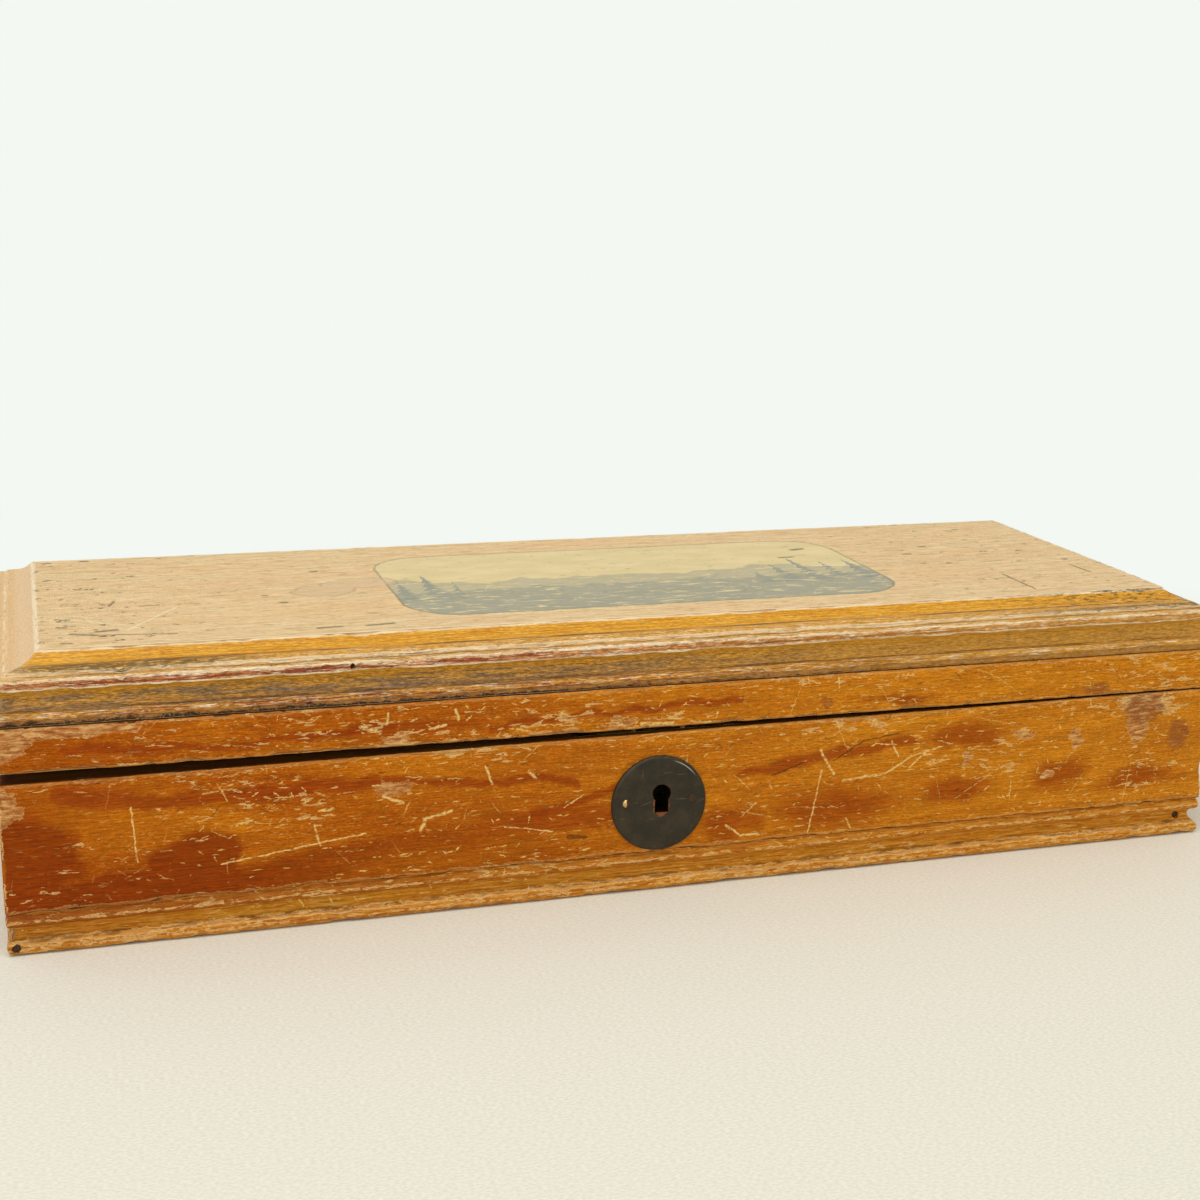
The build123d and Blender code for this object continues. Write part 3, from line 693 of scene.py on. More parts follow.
# %% [markdown]
# ## Room for the hinges
#
# A butt hinge lies flush in two shallow gains, and its barrel stands in a half-round
# hollow on the seam. The back arrises are planed off at an angle, and it is these two
# bevels that meet and hold the lid a little past upright.

# %% Gains, barrel hollows and stop bevels
HINGE_NAMES = ("hinge_left", "hinge_right")
stop_half_run = length / 2 + BEYOND


def rod(x_low, x_high, radius, placed):
    """A round bar along X in a frame, as a cutter."""
    turn, origin = placed
    sideways = np.array([[0, -1, 0], [1, 0, 0], [0, 0, 1]], float)
    return prism(circle((0, 0), radius), -x_high, -x_low, (turn @ sideways.T, origin))


def gains(end):
    """Beds for both hinges on one side of the seam: -1 for the case, 1 for the lid."""
    tools = []
    for name in HINGE_NAMES:
        low, high = size_of(f"{name}_box_leaf")
        leaf_depth = hinge_place[1] - low[1]
        tools.append(block(
            (low[0], -leaf_depth, min(end * LEAF_BACK, 0)),
            (high[0], 0.0, max(end * LEAF_BACK, 0)), FRAMES["hinge"]))
        middle = between(low[0], high[0])
        tools.append(rod(middle - BARREL_RUN / 2, middle + BARREL_RUN / 2,
                         BARREL_ROOM, FRAMES["hinge"]))
    return tools


def stop_bevel(end):
    """A slab that planes the back arris away, up to the plane through the hinge axis."""
    turn, origin = FRAMES["hinge"]
    lean = radians(STOP_BEVEL)
    tilt = -lean if end < 0 else lean - pi
    about_x = np.array([[1, 0, 0], [0, cos(tilt), -sin(tilt)], [0, sin(tilt), cos(tilt)]])
    return block((-stop_half_run, -2 * wall, 0), (stop_half_run, 2 * wall, 2 * wall),
                 (turn @ about_x, origin))


carved(case_boards["back"], gains(-1) + [stop_bevel(-1)])
carved(lid_rails["back"], gains(1) + [stop_bevel(1)])
for made, end in ((case_boards["left_end"], -1), (case_boards["right_end"], -1),
                  (lid_rails["left"], 1), (lid_rails["right"], 1)):
    carved(made, [stop_bevel(end)])

# %% [markdown]
# ## Pins, a worm hole and a notch
#
# The corners are held by small cut nails, punched below the surface so that each one
# sits in a ragged little crater. A pin is a turned shape, made by spinning a short
# outline, and its crater is one more cutter. One beetle has flown out of the lid's
# fillet, and one knock has taken a notch from the seam's lip.

# %% Where the pins go
FRONT_LEFT_PIN, FRONT_RIGHT_PIN, BACK_PIN = (2.0, 1.9), (5.4, 4.7), (2.5, 1.9)
END_PIN_LEVEL, LID_PIN_LEVEL, PIN_FROM_CORNER = body_height - 9.0, 5.0, 4.0
PIN_LENGTH, PIN_HEAD, PIN_SHANK, PIN_SUNK, CRATER = 12.0, 0.9, 0.5, 0.3, 1.0


def end_pins(level):
    """Both pins of both ends, as (side, along, inset, level)."""
    return [(side, end * (depth / 2 - PIN_FROM_CORNER), 0, level)
            for side in (LEFT, RIGHT) for end in (-1, 1)]


box_pins = [
    (FRONT, FRONT_LEFT_PIN[0] - length / 2, 0, FRONT_LEFT_PIN[1]),
    (FRONT, length / 2 - FRONT_RIGHT_PIN[0], COVE_DEPTH, FRONT_RIGHT_PIN[1]),
    (BACK, length / 2 - BACK_PIN[0], 0, BACK_PIN[1]),
    (BACK, BACK_PIN[0] - length / 2, 0, BACK_PIN[1]),
] + end_pins(END_PIN_LEVEL)
lid_pins = end_pins(LID_PIN_LEVEL)
print("pins:", len(box_pins), "in the case,", len(lid_pins), "in the lid")


def side_seat(side, along, inset, level, body):
    """Turn and origin of a frame whose -Y looks out of the side, at one spot on it."""
    turn, origin = FRAMES[body]
    angle = radians(side)
    about_z = np.array([[cos(angle), -sin(angle), 0], [sin(angle), cos(angle), 0], [0, 0, 1]])
    spot = to_piece(np.array([[along, inset, level]], float), side)[0]
    return turn @ about_z, turn @ spot + origin


# %% [markdown]
# A round cutter would look drilled. So each hole is an outline whose corners have been
# nudged a little at random, pushed straight into the board.

# %% Punch the craters, the worm hole and the notch
CRATER_DEPTH, CRATER_CORNERS, CRATER_RAG = PIN_SUNK + 0.35, 18, 0.13
WORM_HOLE, WORM_SIZE, WORM_DEPTH = (-70.2, 0, 18.9), 0.62, 3.2
WORM_CORNERS, WORM_RAG, WORM_STRETCH = 16, 0.07, 1.15
NOTCH, NOTCH_DEPTH, NOTCH_RAG = (57.2, 0, 37.6), 0.7, 0.1
NOTCH_OUTLINE = [(-1.1, 1.6), (-0.9, 0.1), (-0.2, -0.9), (0.6, -0.5), (1.2, 0.4), (1.3, 1.6)]
LID_SEEDS, WORM_SEED, NOTCH_SEED = 20, 5, 2
BOARD_OF = {side: name for name, side in SIDES.items()}
RAIL_OF = {side: name for name, side in RAIL_SIDES.items()}


def crater(pin, body, seed):
    outline = ragged(circle((0, 0), CRATER, CRATER_CORNERS), CRATER_RAG, seed)
    return prism(outline, -BEYOND, CRATER_DEPTH, side_seat(*pin, body))


for seed, pin in enumerate(box_pins):
    carved(case_boards[BOARD_OF[pin[0]]], [crater(pin, "box", seed)])
for seed, pin in enumerate(lid_pins):
    carved(lid_rails[RAIL_OF[pin[0]]], [crater(pin, "lid", LID_SEEDS + seed)])
worm_circle = circle((0, 0), WORM_SIZE, WORM_CORNERS)
worm_outline = ragged([(x, WORM_STRETCH * z) for x, z in worm_circle], WORM_RAG, WORM_SEED)
carved(lid_top, [prism(worm_outline, -BEYOND, WORM_DEPTH, side_seat(FRONT, *WORM_HOLE, "lid"))])
notch_outline = ragged(NOTCH_OUTLINE, NOTCH_RAG, NOTCH_SEED)
carved(case_boards["front"], [
    prism(notch_outline, -BEYOND, NOTCH_DEPTH, side_seat(FRONT, *NOTCH, "box")),
])

# %% [markdown]
# A pin is drawn as a few points of (radius, depth) and spun about its own axis. Its
# rim is a little uneven, since a cut nail was never quite round.


# %% Turn the pins
def ring_faces(rings, count):
    """Quads between rings of points that run round Y, and a face over the first ring."""
    quads = [(row * count + n, (row + 1) * count + n,
              (row + 1) * count + (n + 1) % count, row * count + (n + 1) % count)
             for row in range(rings - 1) for n in range(count)]
    return quads + [tuple(range(count))]


def turned(outline, count, wobble, seed):
    """Points and faces of (radius, depth) points spun about Y, with an uneven rim."""
    rng = np.random.default_rng(seed)
    sway = 1 + wobble * rng.uniform(-1, 1, count)
    angles = 2 * pi * np.arange(count) / count
    points = [(r * s * np.cos(a), y, r * s * np.sin(a))
              for r, y in outline for a, s in zip(angles, sway)]
    rim = (len(outline) - 1) * count
    return points, ring_faces(len(outline), count) + [tuple(range(rim, rim + count))[::-1]]


def gathered(name, parts):
    """One mesh object out of several (points, faces, (turn, origin)) parts, in mm."""
    points, faces = [], []
    for part_points, part_faces, (turn, origin) in parts:
        faces += [tuple(corner + len(points) for corner in face) for face in part_faces]
        points += list(np.array(part_points, float) @ turn.T + origin)
    print(f"{name}: {len(parts)} parts, {len(faces)} faces")
    return new_object(name, np.array(points), faces)


PIN_OUTLINE = [
    (0.12, PIN_SUNK), (0.55, PIN_SUNK + 0.03), (0.8, PIN_SUNK + 0.12), (PIN_HEAD, PIN_SUNK + 0.26),
    (PIN_SHANK, PIN_SUNK + 0.34), (PIN_SHANK, PIN_LENGTH - 1.5), (0.12, PIN_LENGTH),
]


PIN_SPOKES, PIN_UNEVEN = 18, 0.05


def pins(name, places, body):
    return gathered(name, [
        (*turned(PIN_OUTLINE, PIN_SPOKES, PIN_UNEVEN, seed), side_seat(*place, body))
        for seed, place in enumerate(places)
    ])


box_corner_pins = pins("box_corner_pins_worn", box_pins, "box")
lid_corner_pins = pins("lid_corner_pins_worn", lid_pins, "lid")

# %% [markdown]
# ## The keyhole plate
#
# A disc of blackened iron covers the keyhole, with a filed rim and a hole that the key
# has worn ragged. A plain cylinder would catch the light evenly all over, which real
# sheet never does. The plate is therefore laid out in rings, so that its face can be
# very slightly dished and dented, and its rim can round over.

# %% Make the plate
plate_disc_low, plate_disc_high = size_of("escutcheon")
DISC_RADIUS = (plate_disc_high[0] - plate_disc_low[0]) / 2
DISC_THICK = plate_disc_high[1] - plate_disc_low[1]
disc_centre = (between(plate_disc_low[0], plate_disc_high[0]),
               between(plate_disc_low[2], plate_disc_high[2]))
RIM_WIDTH, RIM_DROP, RIM_ROUNDING, HAIR = 0.75, 0.42, 2.2, 0.02
DENT_DEPTH, BUCKLE_DEPTH = 0.05, 0.07
FACE_RINGS, RIM_RINGS, DISC_SPOKES = 17, 9, 128
plate_face = -depth / 2 - DISC_THICK


def disc_height(radius, spots):
    """How far the plate's face stands out from the wood at a radius."""
    rim = np.clip((radius - (DISC_RADIUS - RIM_WIDTH)) / RIM_WIDTH, 0, 1)
    dents = (DENT_DEPTH * unevenness(spots, (3.5, 3.5, 3.5), DENTS)
             + BUCKLE_DEPTH * unevenness(spots, (9, 9, 9), BUCKLES))
    return DISC_THICK - HAIR - RIM_DROP * rim**RIM_ROUNDING - dents * (1 - rim)


def make_disc():
    radii = DISC_RADIUS * np.concatenate((
        np.linspace(0.06, 0.9, FACE_RINGS), np.linspace(0.925, 0.999, RIM_RINGS)))
    angles = 2 * pi * np.arange(DISC_SPOKES) / DISC_SPOKES
    grid_r, grid_a = np.meshgrid(radii, angles, indexing="ij")
    x = disc_centre[0] + (grid_r * np.cos(grid_a)).ravel()
    z = disc_centre[1] + (grid_r * np.sin(grid_a)).ravel()
    spots = np.column_stack((x, np.zeros_like(x), z))
    front_y = -depth / 2 - disc_height(grid_r.ravel(), spots)
    face = np.column_stack((x, front_y, z))
    back = np.column_stack((x, np.full_like(x, -depth / 2 - HAIR / 2), z))[-DISC_SPOKES:]
    points = np.vstack((face, back))
    faces = ring_faces(len(radii) + 1, DISC_SPOKES)
    faces.append(tuple(range(len(face), len(points)))[::-1])
    return new_object("escutcheon_worn", points, faces)


escutcheon = make_disc()
carved(escutcheon, [
    prism(ragged(keyhole_outline(count=30), 0.1, 4), -depth / 2 - BEYOND, -depth / 2 + BEYOND),
])

# %% [markdown]
# Two small tacks hold the plate. The left one stands proud, and the left half of its
# head is later dressed in bright brass as a painted glint; the rest of it is rusted
# brown like the right one, which has been hammered flat. Each is turned like the pins.

# %% Make the tacks
TACK_SPACING, TACK_LIFT, TACK_DEPTH = 15.8, 0.7, 3.6
PROUD_TACK = [(0.05, -0.35), (0.35, -0.33), (0.62, -0.25), (0.83, -0.12), (0.95, 0.02),
              (0.45, 0.06), (0.45, TACK_DEPTH)]
FLAT_TACK = [(0.05, -0.12), (0.6, -0.13), (0.86, -0.1), (0.95, 0.0), (0.45, 0.06),
             (0.45, TACK_DEPTH)]
TACK_SPOKES = 28
tack_level = disc_centre[1] + TACK_LIFT
tacks = gathered("escutcheon_tacks", [
    (*turned(outline, TACK_SPOKES, uneven, seed),
     (np.eye(3), np.array((disc_centre[0] + end * TACK_SPACING / 2, plate_face, tack_level))))
    for outline, uneven, seed, end in ((PROUD_TACK, 0.03, 11, -1), (FLAT_TACK, 0.06, 12, 1))
])

# %% [markdown]
# ## Telling the finish where it is
#
# Varnish follows the wood, so every face corner carries a few measures for the
# materials to read: *spread* unrolls the board flat (along, reach, inset), *rest* is
# its place in the case or lid, *near* is the distance to an arris, and *lost* is how
# much wood has gone. They are written after the cuts, so cut faces have them as well.

# %% Write the measures on the boards
BOARD_SHIFT, BATCH = 700.0, 8192


def reach_of(bench, kind):
    """Reach of the profile point nearest to each bench point."""
    section, reach = PROFILES[kind]
    found = np.empty(len(bench))
    for start in range(0, len(bench), BATCH):
        part = bench[start:start + BATCH]
        gaps = np.hypot(part[:, None, 1] - section[:, 0], part[:, None, 2] - section[:, 1])
        found[start:start + BATCH] = reach[gaps.argmin(axis=1)]
    if kind == "top":
        found = np.where(bench[:, 1] > panel_inset, reach[-1] + bench[:, 1] - panel_inset, found)
    return found


def read(items, field, width=1, kind=float):
    """One field of every vertex, corner or face, as an array."""
    values = np.empty(len(items) * width, kind)
    items.foreach_get(field, values)
    return values.reshape(-1, width) if width > 1 else values


def write_measure(mesh, name, values):
    kind = "FLOAT_VECTOR" if values.ndim == 2 else "FLOAT"
    measure = mesh.attributes.new(name, kind, "CORNER")
    measure.data.foreach_set("vector" if values.ndim == 2 else "value", values.ravel())


def measured(made, kind, body, sides, number):
    """Gives every face corner of a board its spread, rest, near and lost."""
    mesh = made.data
    points = from_world(read(mesh.vertices, "co", 3) / MM, body)
    corner_point = read(mesh.loops, "vertex_index", kind=np.int64)
    face_size = read(mesh.polygons, "loop_total", kind=np.int64)
    centres = from_world(read(mesh.polygons, "center", 3) / MM, body)
    insets = np.stack([to_bench(centres, side)[:, 1] for side in sides])
    corner_side = np.repeat(insets.argmin(axis=0), face_size)
    spread, near = np.empty((len(corner_point), 3)), np.empty(len(corner_point))
    lost = np.empty(len(corner_point))
    for place, side in enumerate(sides):
        bench = to_bench(points, side)
        reach = reach_of(bench, kind)
        chosen = corner_side == place
        at = corner_point[chosen]
        shift = BOARD_SHIFT * (number + place)
        spread[chosen] = np.column_stack((bench[at, 0] + shift, reach[at], bench[at, 1]))
        near[chosen] = arris_distance(bench, side, kind)[at]
        lost[chosen] = wear_depth(points, bench, side, kind, body)[at]
    for name, values in (("spread", spread), ("rest", points[corner_point]),
                         ("near", near), ("lost", lost)):
        write_measure(mesh, name, values)


for number, name in enumerate(SIDES):
    measured(case_boards[name], "case", "box", (SIDES[name],), number)
for number, name in enumerate(RAIL_SIDES):
    measured(lid_rails[name], "rail", "lid", (RAIL_SIDES[name],), number)
measured(lid_top, "top", "lid", ALL_SIDES, 0)
print("measures:", [measure.name for measure in lid_top.data.attributes if measure.domain == "CORNER"])

# %% [markdown]
# ## Standing in for the framed pieces
#
# A dressed board takes the place of its framed node and moves with the same body; its
# finish is given further on. Edges sharper than a knock are kept crisp, all others are
# shaded smooth.

# %% Ride and replace
CRISP = radians(42)


def stands_in(made, body, node):
    made.data.shade_smooth()
    made.data.set_sharp_from_angle(angle=CRISP)
    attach(made, body)
    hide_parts(node)


for name, made in case_boards.items():
    stands_in(made, "box", f"box_{name}")
for name, made in lid_rails.items():
    stands_in(made, "lid", f"lid_{name}_rail")
stands_in(lid_top, "lid", "lid_top")
stands_in(box_corner_pins, "box", "box_corner_pins")
stands_in(lid_corner_pins, "lid", "lid_corner_pins")
stands_in(escutcheon, "box", "escutcheon")
stands_in(tacks, "box", "escutcheon_pins")
print("standing in:", *case_boards, *lid_rails, "lid board, pins, keyhole plate and tacks")

# %% [markdown]
# ## A small vocabulary for materials
#
# A finish could be painted on an image, but an image blurs when someone looks closely
# and ends at its own edges. Nodes stay sharp at any distance. These helpers add a node,
# wire it and hand back what it puts out, its *readings*. Readings can be added,
# multiplied and compared like plain numbers, and each such sum becomes a maths node,
# so that every finish reads as a few plain sentences.


# %% Readings, and the nodes that they come from
def tone(red, green, blue):
    """A colour written as a screen shows it, from 0 to 255."""
    parts = [value / 255 for value in (red, green, blue)]
    return (*[p / 12.92 if p <= 0.04045 else ((p + 0.055) / 1.055) ** 2.4 for p in parts], 1.0)


def maths(operation, *values):
    """The reading of one maths node, for vectors if one of its values is a vector."""
    flat = not any(isinstance(value, tuple) or isinstance(value, Reading)
                   and value.socket.type == "VECTOR" for value in values)
    made = node("Math" if flat else "VectorMath", dict(enumerate(values)), operation=operation)
    return made["Value" if flat or operation in ("LENGTH", "DOT_PRODUCT") else "Vector"]


def sum_of(operation, turned_round=False):
    """A method that turns a sum written with a sign into its maths node."""
    def method(self, *other):
        return maths(operation, *((*other, self) if turned_round else (self, *other)))
    return method


class Reading:
    """What one socket puts out; sums with it become nodes of the same tree."""

    __add__, __radd__ = sum_of("ADD"), sum_of("ADD", True)
    __sub__, __rsub__ = sum_of("SUBTRACT"), sum_of("SUBTRACT", True)
    __mul__, __rmul__ = sum_of("MULTIPLY"), sum_of("MULTIPLY", True)
    __truediv__, __rtruediv__ = sum_of("DIVIDE"), sum_of("DIVIDE", True)
    __lt__, __gt__, __abs__ = sum_of("LESS_THAN"), sum_of("GREATER_THAN"), sum_of("ABSOLUTE")

    __array_ufunc__ = None  # so that sums with NumPy's numbers come here as well

    def __init__(self, socket):
        self.socket, self.tree = socket, socket.id_data


class Made:
    """A node, and its readings by name or number."""

    def __init__(self, node):
        self.node = node

    def __getitem__(self, key):
        return Reading(self.node.outputs[key])

    def __iter__(self):
        return map(Reading, self.node.outputs)


def node(kind, inputs, tree=None, **settings):
    """Adds a node beside its readings, sets its options, then links or fills its inputs."""
    tree = tree or next(value.tree for value in inputs.values() if isinstance(value, Reading))
    made = tree.nodes.new("ShaderNode" + kind)
    for name, value in settings.items():
        setattr(made, name, value)
    for name, value in inputs.items():
        if isinstance(value, Reading):
            tree.links.new(value.socket, made.inputs[name])
        else:
            made.inputs[name].default_value = value
    return Made(made)


def highest(first, *others):
    for other in others:
        first = maths("MAXIMUM", first, other)
    return first


def lowest(first, second):
    return maths("MINIMUM", first, second)


def times_plus(value, factor, more):
    """Value times factor plus more, in one node."""
    return maths("MULTIPLY_ADD", value, factor, more)


def length_of(vector):
    return maths("LENGTH", vector)


def parts(vector):
    """The three readings along, across and up of a vector."""
    return node("SeparateXYZ", {0: vector})


def joined(along=0.0, across=0.0, up=0.0):
    return node("CombineXYZ", {0: along, 1: across, 2: up})[0]


def soft(value, low, high, start=0.0, end=1.0):
    """A soft step from start to end while the value goes from low to high."""
    return node("MapRange", {"Value": value, "From Min": low, "From Max": high,
                             "To Min": start, "To Max": end},
                interpolation_type="SMOOTHSTEP", clamp=False)["Result"]


def paint(amount, under, top, mode="MIX"):
    """One colour laid over another by an amount."""
    return node("Mix", {0: amount, 6: under, 7: top}, data_type="RGBA", blend_type=mode)[2]


def cloud(vector, size, detail=2.0, rough=0.5, distort=0.0):
    """Noise from 0 to 1 whose features are about size mm across."""
    scaled = node("Mapping", {"Vector": vector, "Scale": tuple(1 / part for part in size)})
    return node("TexNoise", {"Vector": scaled[0], "Scale": 1.0, "Detail": detail,
                             "Roughness": rough, "Distortion": distort})["Fac"]


def wobble(vector, size, amount):
    """The same vector pushed about by noise, across the face of a board."""
    noise = node("TexNoise", {"Vector": vector, "Scale": 1 / size, "Detail": 3.0})
    along, across, _ = node("SeparateColor", {0: noise["Color"]})
    return vector + joined((along - 0.5) * amount[0], (across - 0.5) * amount[1])


def shaded(colour, light):
    """A colour made lighter or darker by a factor."""
    return paint(1.0, colour, node("CombineColor", {0: light, 1: light, 2: light})[0], "MULTIPLY")


def tint_scale(value, stops):
    """A colour read from a scale of (place, colour) stops."""
    made = node("ValToRGB", {"Fac": value})
    scale = made.node.color_ramp
    while len(scale.elements) < len(stops):
        scale.elements.new(1.0)
    for element, (place, colour) in zip(scale.elements, stops):
        element.position, element.color = place, colour
    return made["Color"]


def board_measures(tree):
    """The measures written on a board's mesh: spread, rest, near and lost."""
    return [node("Attribute", {}, tree, attribute_name=name)[kind] for name, kind in (
        ("spread", "Vector"), ("rest", "Vector"), ("near", "Fac"), ("lost", "Fac"))]


def spaced(values):
    """Socket names as a node writes them, with spaces."""
    return {name.replace("_", " "): value for name, value in values.items()}


def effect(name, outputs, **inputs):
    """A new node group with named sockets; gives its tree, its readings and its last node."""
    tree = bpy.data.node_groups.new(name, "ShaderNodeTree")
    for socket_name, default in spaced({"Vector": (0.0, 0.0, 0.0), **inputs}).items():
        kind = "NodeSocketVector" if isinstance(default, tuple) else "NodeSocketFloat"
        socket = tree.interface.new_socket(socket_name, in_out="INPUT", socket_type=kind)
        socket.default_value = default
    for socket_name in outputs:
        kind = "NodeSocketColor" if socket_name == "Colour" else "NodeSocketFloat"
        tree.interface.new_socket(socket_name, in_out="OUTPUT", socket_type=kind)
    return tree, Made(tree.nodes.new("NodeGroupInput")), tree.nodes.new("NodeGroupOutput")


def give(result, **values):
    """Wires what an effect puts out to its last node."""
    for name, value in values.items():
        value.tree.links.new(value.socket, result.inputs[name])
    print(f"{result.id_data.name}: {len(result.id_data.nodes)} nodes")


def use(group, **values):
    """Places an effect in a material, with its own values."""
    return node("Group", spaced(values), node_tree=group)


def material(name):
    made = bpy.data.materials.new(name)
    made.use_nodes = True
    made.node_tree.nodes.clear()
    return made, made.node_tree


def finish(**sockets):
    """The surface itself: one Principled shader wired to the material's output."""
    surface = node("BsdfPrincipled", spaced(sockets))
    node("OutputMaterial", {"Surface": surface[0]})
    print(f"surface wired, {len(surface[0].tree.nodes)} nodes")


def bump(height, strength, distance):
    """Relief from a height; distance is in mm."""
    return node("Bump", {"Height": height, "Strength": strength, "Distance": distance * MM})["Normal"]

# %% [markdown]
# ## Effects that several finishes share
#
# *Pine figure* is the wood itself: broad growth bands cut through as the board was
# sawn flat, fine fibres along the grain and short dark dashes where varnish has soaked
# into pores. All of it is noise stretched along the board.

# %% Pine figure
pine_figure, given, result = effect(
    "pine figure", ("Growth", "Fibre", "Dashes"), Ring_Width=6.0, Wander=1.6)
wander = cloud(given["Vector"], (110, 24, 24), 2.0, 0.4, 0.3)
height = parts(given["Vector"])[1]
rings = height / given["Ring Width"]
rings = rings + wander * given["Wander"] * 4.0
ring = maths("FRACT", rings)
growth = soft(ring, 0.2, 0.9) * soft(ring, 0.9, 1.0, 1.0, 0.0)
fibre = cloud(given["Vector"], (9, 0.34, 0.5), 3.0, 0.6)
dashes = cloud(given["Vector"], (2.6, 0.3, 0.4), 2.0, 0.55, 0.3)
give(result, Growth=growth, Fibre=fibre, Dashes=soft(dashes, 0.56, 0.7))

# %% [markdown]
# *Scratches* are scattered strokes. A cell pattern gives every stroke its own random
# place, lean, bend and length, and drops some of them. The same effect makes long key
# marks, short flecks and tiny pits, only with other values.

# %% Scratches
scratches, given, result = effect(
    "scratches", ("Mask",), Cell=12.0, Length=4.0, Width=0.2, Share=0.5, Lean=2.5)
cell_scale = 1.0 / given["Cell"]
cells = node("TexVoronoi", {"Vector": given["Vector"], "Scale": cell_scale}, voronoi_dimensions="2D")
chance = node("SeparateColor", {0: cells["Color"]})
flat = given["Vector"] * (1.0, 1.0, 0.0)
from_middle = flat - cells["Position"]
lean = chance[0] - 0.5
lean = lean * abs(lean) * (given["Lean"] * 2.0)
turned_stroke = node("VectorRotate", {"Vector": from_middle, "Angle": lean}, rotation_type="Z_AXIS")[0]
ahead, aside, _ = parts(turned_stroke)
bend = (chance[1] - 0.15) * 0.35
bend = bend / given["Length"]
aside = aside + ahead * ahead * bend
own_length = given["Length"] * times_plus(chance[2], 0.8, 0.2)
gone_along = abs(ahead) / own_length
taper = given["Width"] * (1.05 - gone_along * gone_along)
broken = cloud(given["Vector"], (0.9, 0.5, 0.5), 2.0, 0.6)
reached_across = abs(aside) / highest(taper, 0.01)
across_fade = soft(reached_across + soft(broken, 0.35, 0.6, 0.8, -0.2), 0.45, 1.0, 1.0, 0.0)
kept = (chance[1] < given["Share"]) * times_plus(chance[2], 0.65, 0.35)
give(result, Mask=kept * ((gone_along < 1.0) * across_fade))

# %% [markdown]
# Some marks everybody who owned this box would know: the long key mark right of the
# lock, the stained corner, the bruise on the rail. *Stroke* draws one straight mark
# between two places on the unrolled board, and *patch* one soft or ragged spot. Both
# only measure a distance, so many of them cost little.

# %% Single strokes and patches
stroke, given, result = effect(
    "stroke", ("Mask",), From=(0.0, 0.0, 0.0), To=(1.0, 0.0, 0.0), Width=0.4)
reached = given["Vector"] - given["From"]
whole = given["To"] - given["From"]
share = maths("DOT_PRODUCT", reached, whole) / maths("DOT_PRODUCT", whole, whole)
share = lowest(highest(share, 0.0), 1.0)
foot = node("VectorMath", {0: whole, "Scale": share}, operation="SCALE")[0]
away = length_of(reached - foot)
give(result, Mask=soft(away / given["Width"], 0.3, 1.0, 1.0, 0.0))

patch, given, result = effect(
    "patch", ("Mask",), Centre=(0.0, 0.0, 0.0), Size=(1.0, 1.0, 1.0), Core=0.6)
away = length_of((given["Vector"] - given["Centre"]) / given["Size"])
give(result, Mask=soft(away, given["Core"], 1.0, 1.0, 0.0))


def marks(group, vector, rows):
    """The strongest of several placed marks; each row fills the group's own values."""
    total = None
    for row in rows:
        mask = use(group, Vector=vector, **row)["Mask"]
        total = mask if total is None else highest(total, mask)
    return total


def strokes(vector, rows):
    """Several strokes, from rows of (start, end, width)."""
    return marks(stroke, vector, [
        {"From": (*start, 0.0), "To": (*end, 0.0), "Width": width} for start, end, width in rows])


def patches(vector, rows, core=0.6):
    """Several patches, from rows of (centre, size)."""
    return marks(patch, vector, [
        {"Centre": (*centre, 0.0), "Size": (*size, 1.0), "Core": core} for centre, size in rows])


def level_bands(level, rows, core=0.6):
    """Patches that run the whole length of a board, from rows of (level, half width)."""
    return patches(joined(0.0, level), [((0, middle), (9, half)) for middle, half in rows], core)


# %% [markdown]
# *Edge wear* bares the wood near an arris, wherever the mesh itself has lost wood and a
# little beyond it, with a ragged outline and a pale rim of lifted varnish. *Flaking*
# does the same in the middle of a face. *Specks* are grains of dust.

# %% Edge wear, flaking and specks
edge_wear, given, result = effect("edge wear", ("Bare", "Rim"), Near=5.0, Lost=0.0, Width=0.8)
ragged_noise = cloud(given["Vector"], (2.4, 1.1, 1.5), 4.0, 0.65, 0.6)
closeness = soft(given["Near"] / given["Width"], 0.0, 2.2, 0.62, 0.0)
gone = closeness + given["Lost"] * 0.95
gone = gone + (ragged_noise - 0.5) * 1.5
give(result, Bare=soft(gone, 0.5, 0.6), Rim=soft(gone, 0.43, 0.5) * soft(gone, 0.55, 0.66, 1.0, 0.0))

flaking, given, result = effect("flaking", ("Bare", "Rim"), Amount=0.3)
islands = cloud(given["Vector"], (4.8, 1.3, 1.7), 5.0, 0.68, 0.5)
level_of_flake = islands + given["Amount"] * 0.3
give(result, Bare=soft(level_of_flake, 0.71, 0.75),
    Rim=soft(level_of_flake, 0.68, 0.7) * soft(level_of_flake, 0.72, 0.76, 1.0, 0.0))

specks, given, result = effect("specks", ("Mask",), Cell=9.0, Radius=0.25, Share=0.4)
speck_cells = node("TexVoronoi", {"Vector": given["Vector"], "Scale": 1.0 / given["Cell"]})
speck_chance = node("SeparateColor", {0: speck_cells["Color"]})
speck_gap = speck_cells["Distance"] * given["Cell"]
speck_size = given["Radius"] * (speck_chance[1] + 0.35)
give(result, Mask=(speck_chance[0] < given["Share"]) * soft(speck_gap / speck_size, 0.7, 1.1, 1.0, 0.0))
print("effects:", [group.name for group in bpy.data.node_groups])

# %% [markdown]
# *Raw pine* is the wood where no varnish ever was, or where it has gone: the inside of
# the box, the underside, every worn spot. It is shared by all wooden finishes, so that
# a chip in the frieze shows the same wood as the inside does.

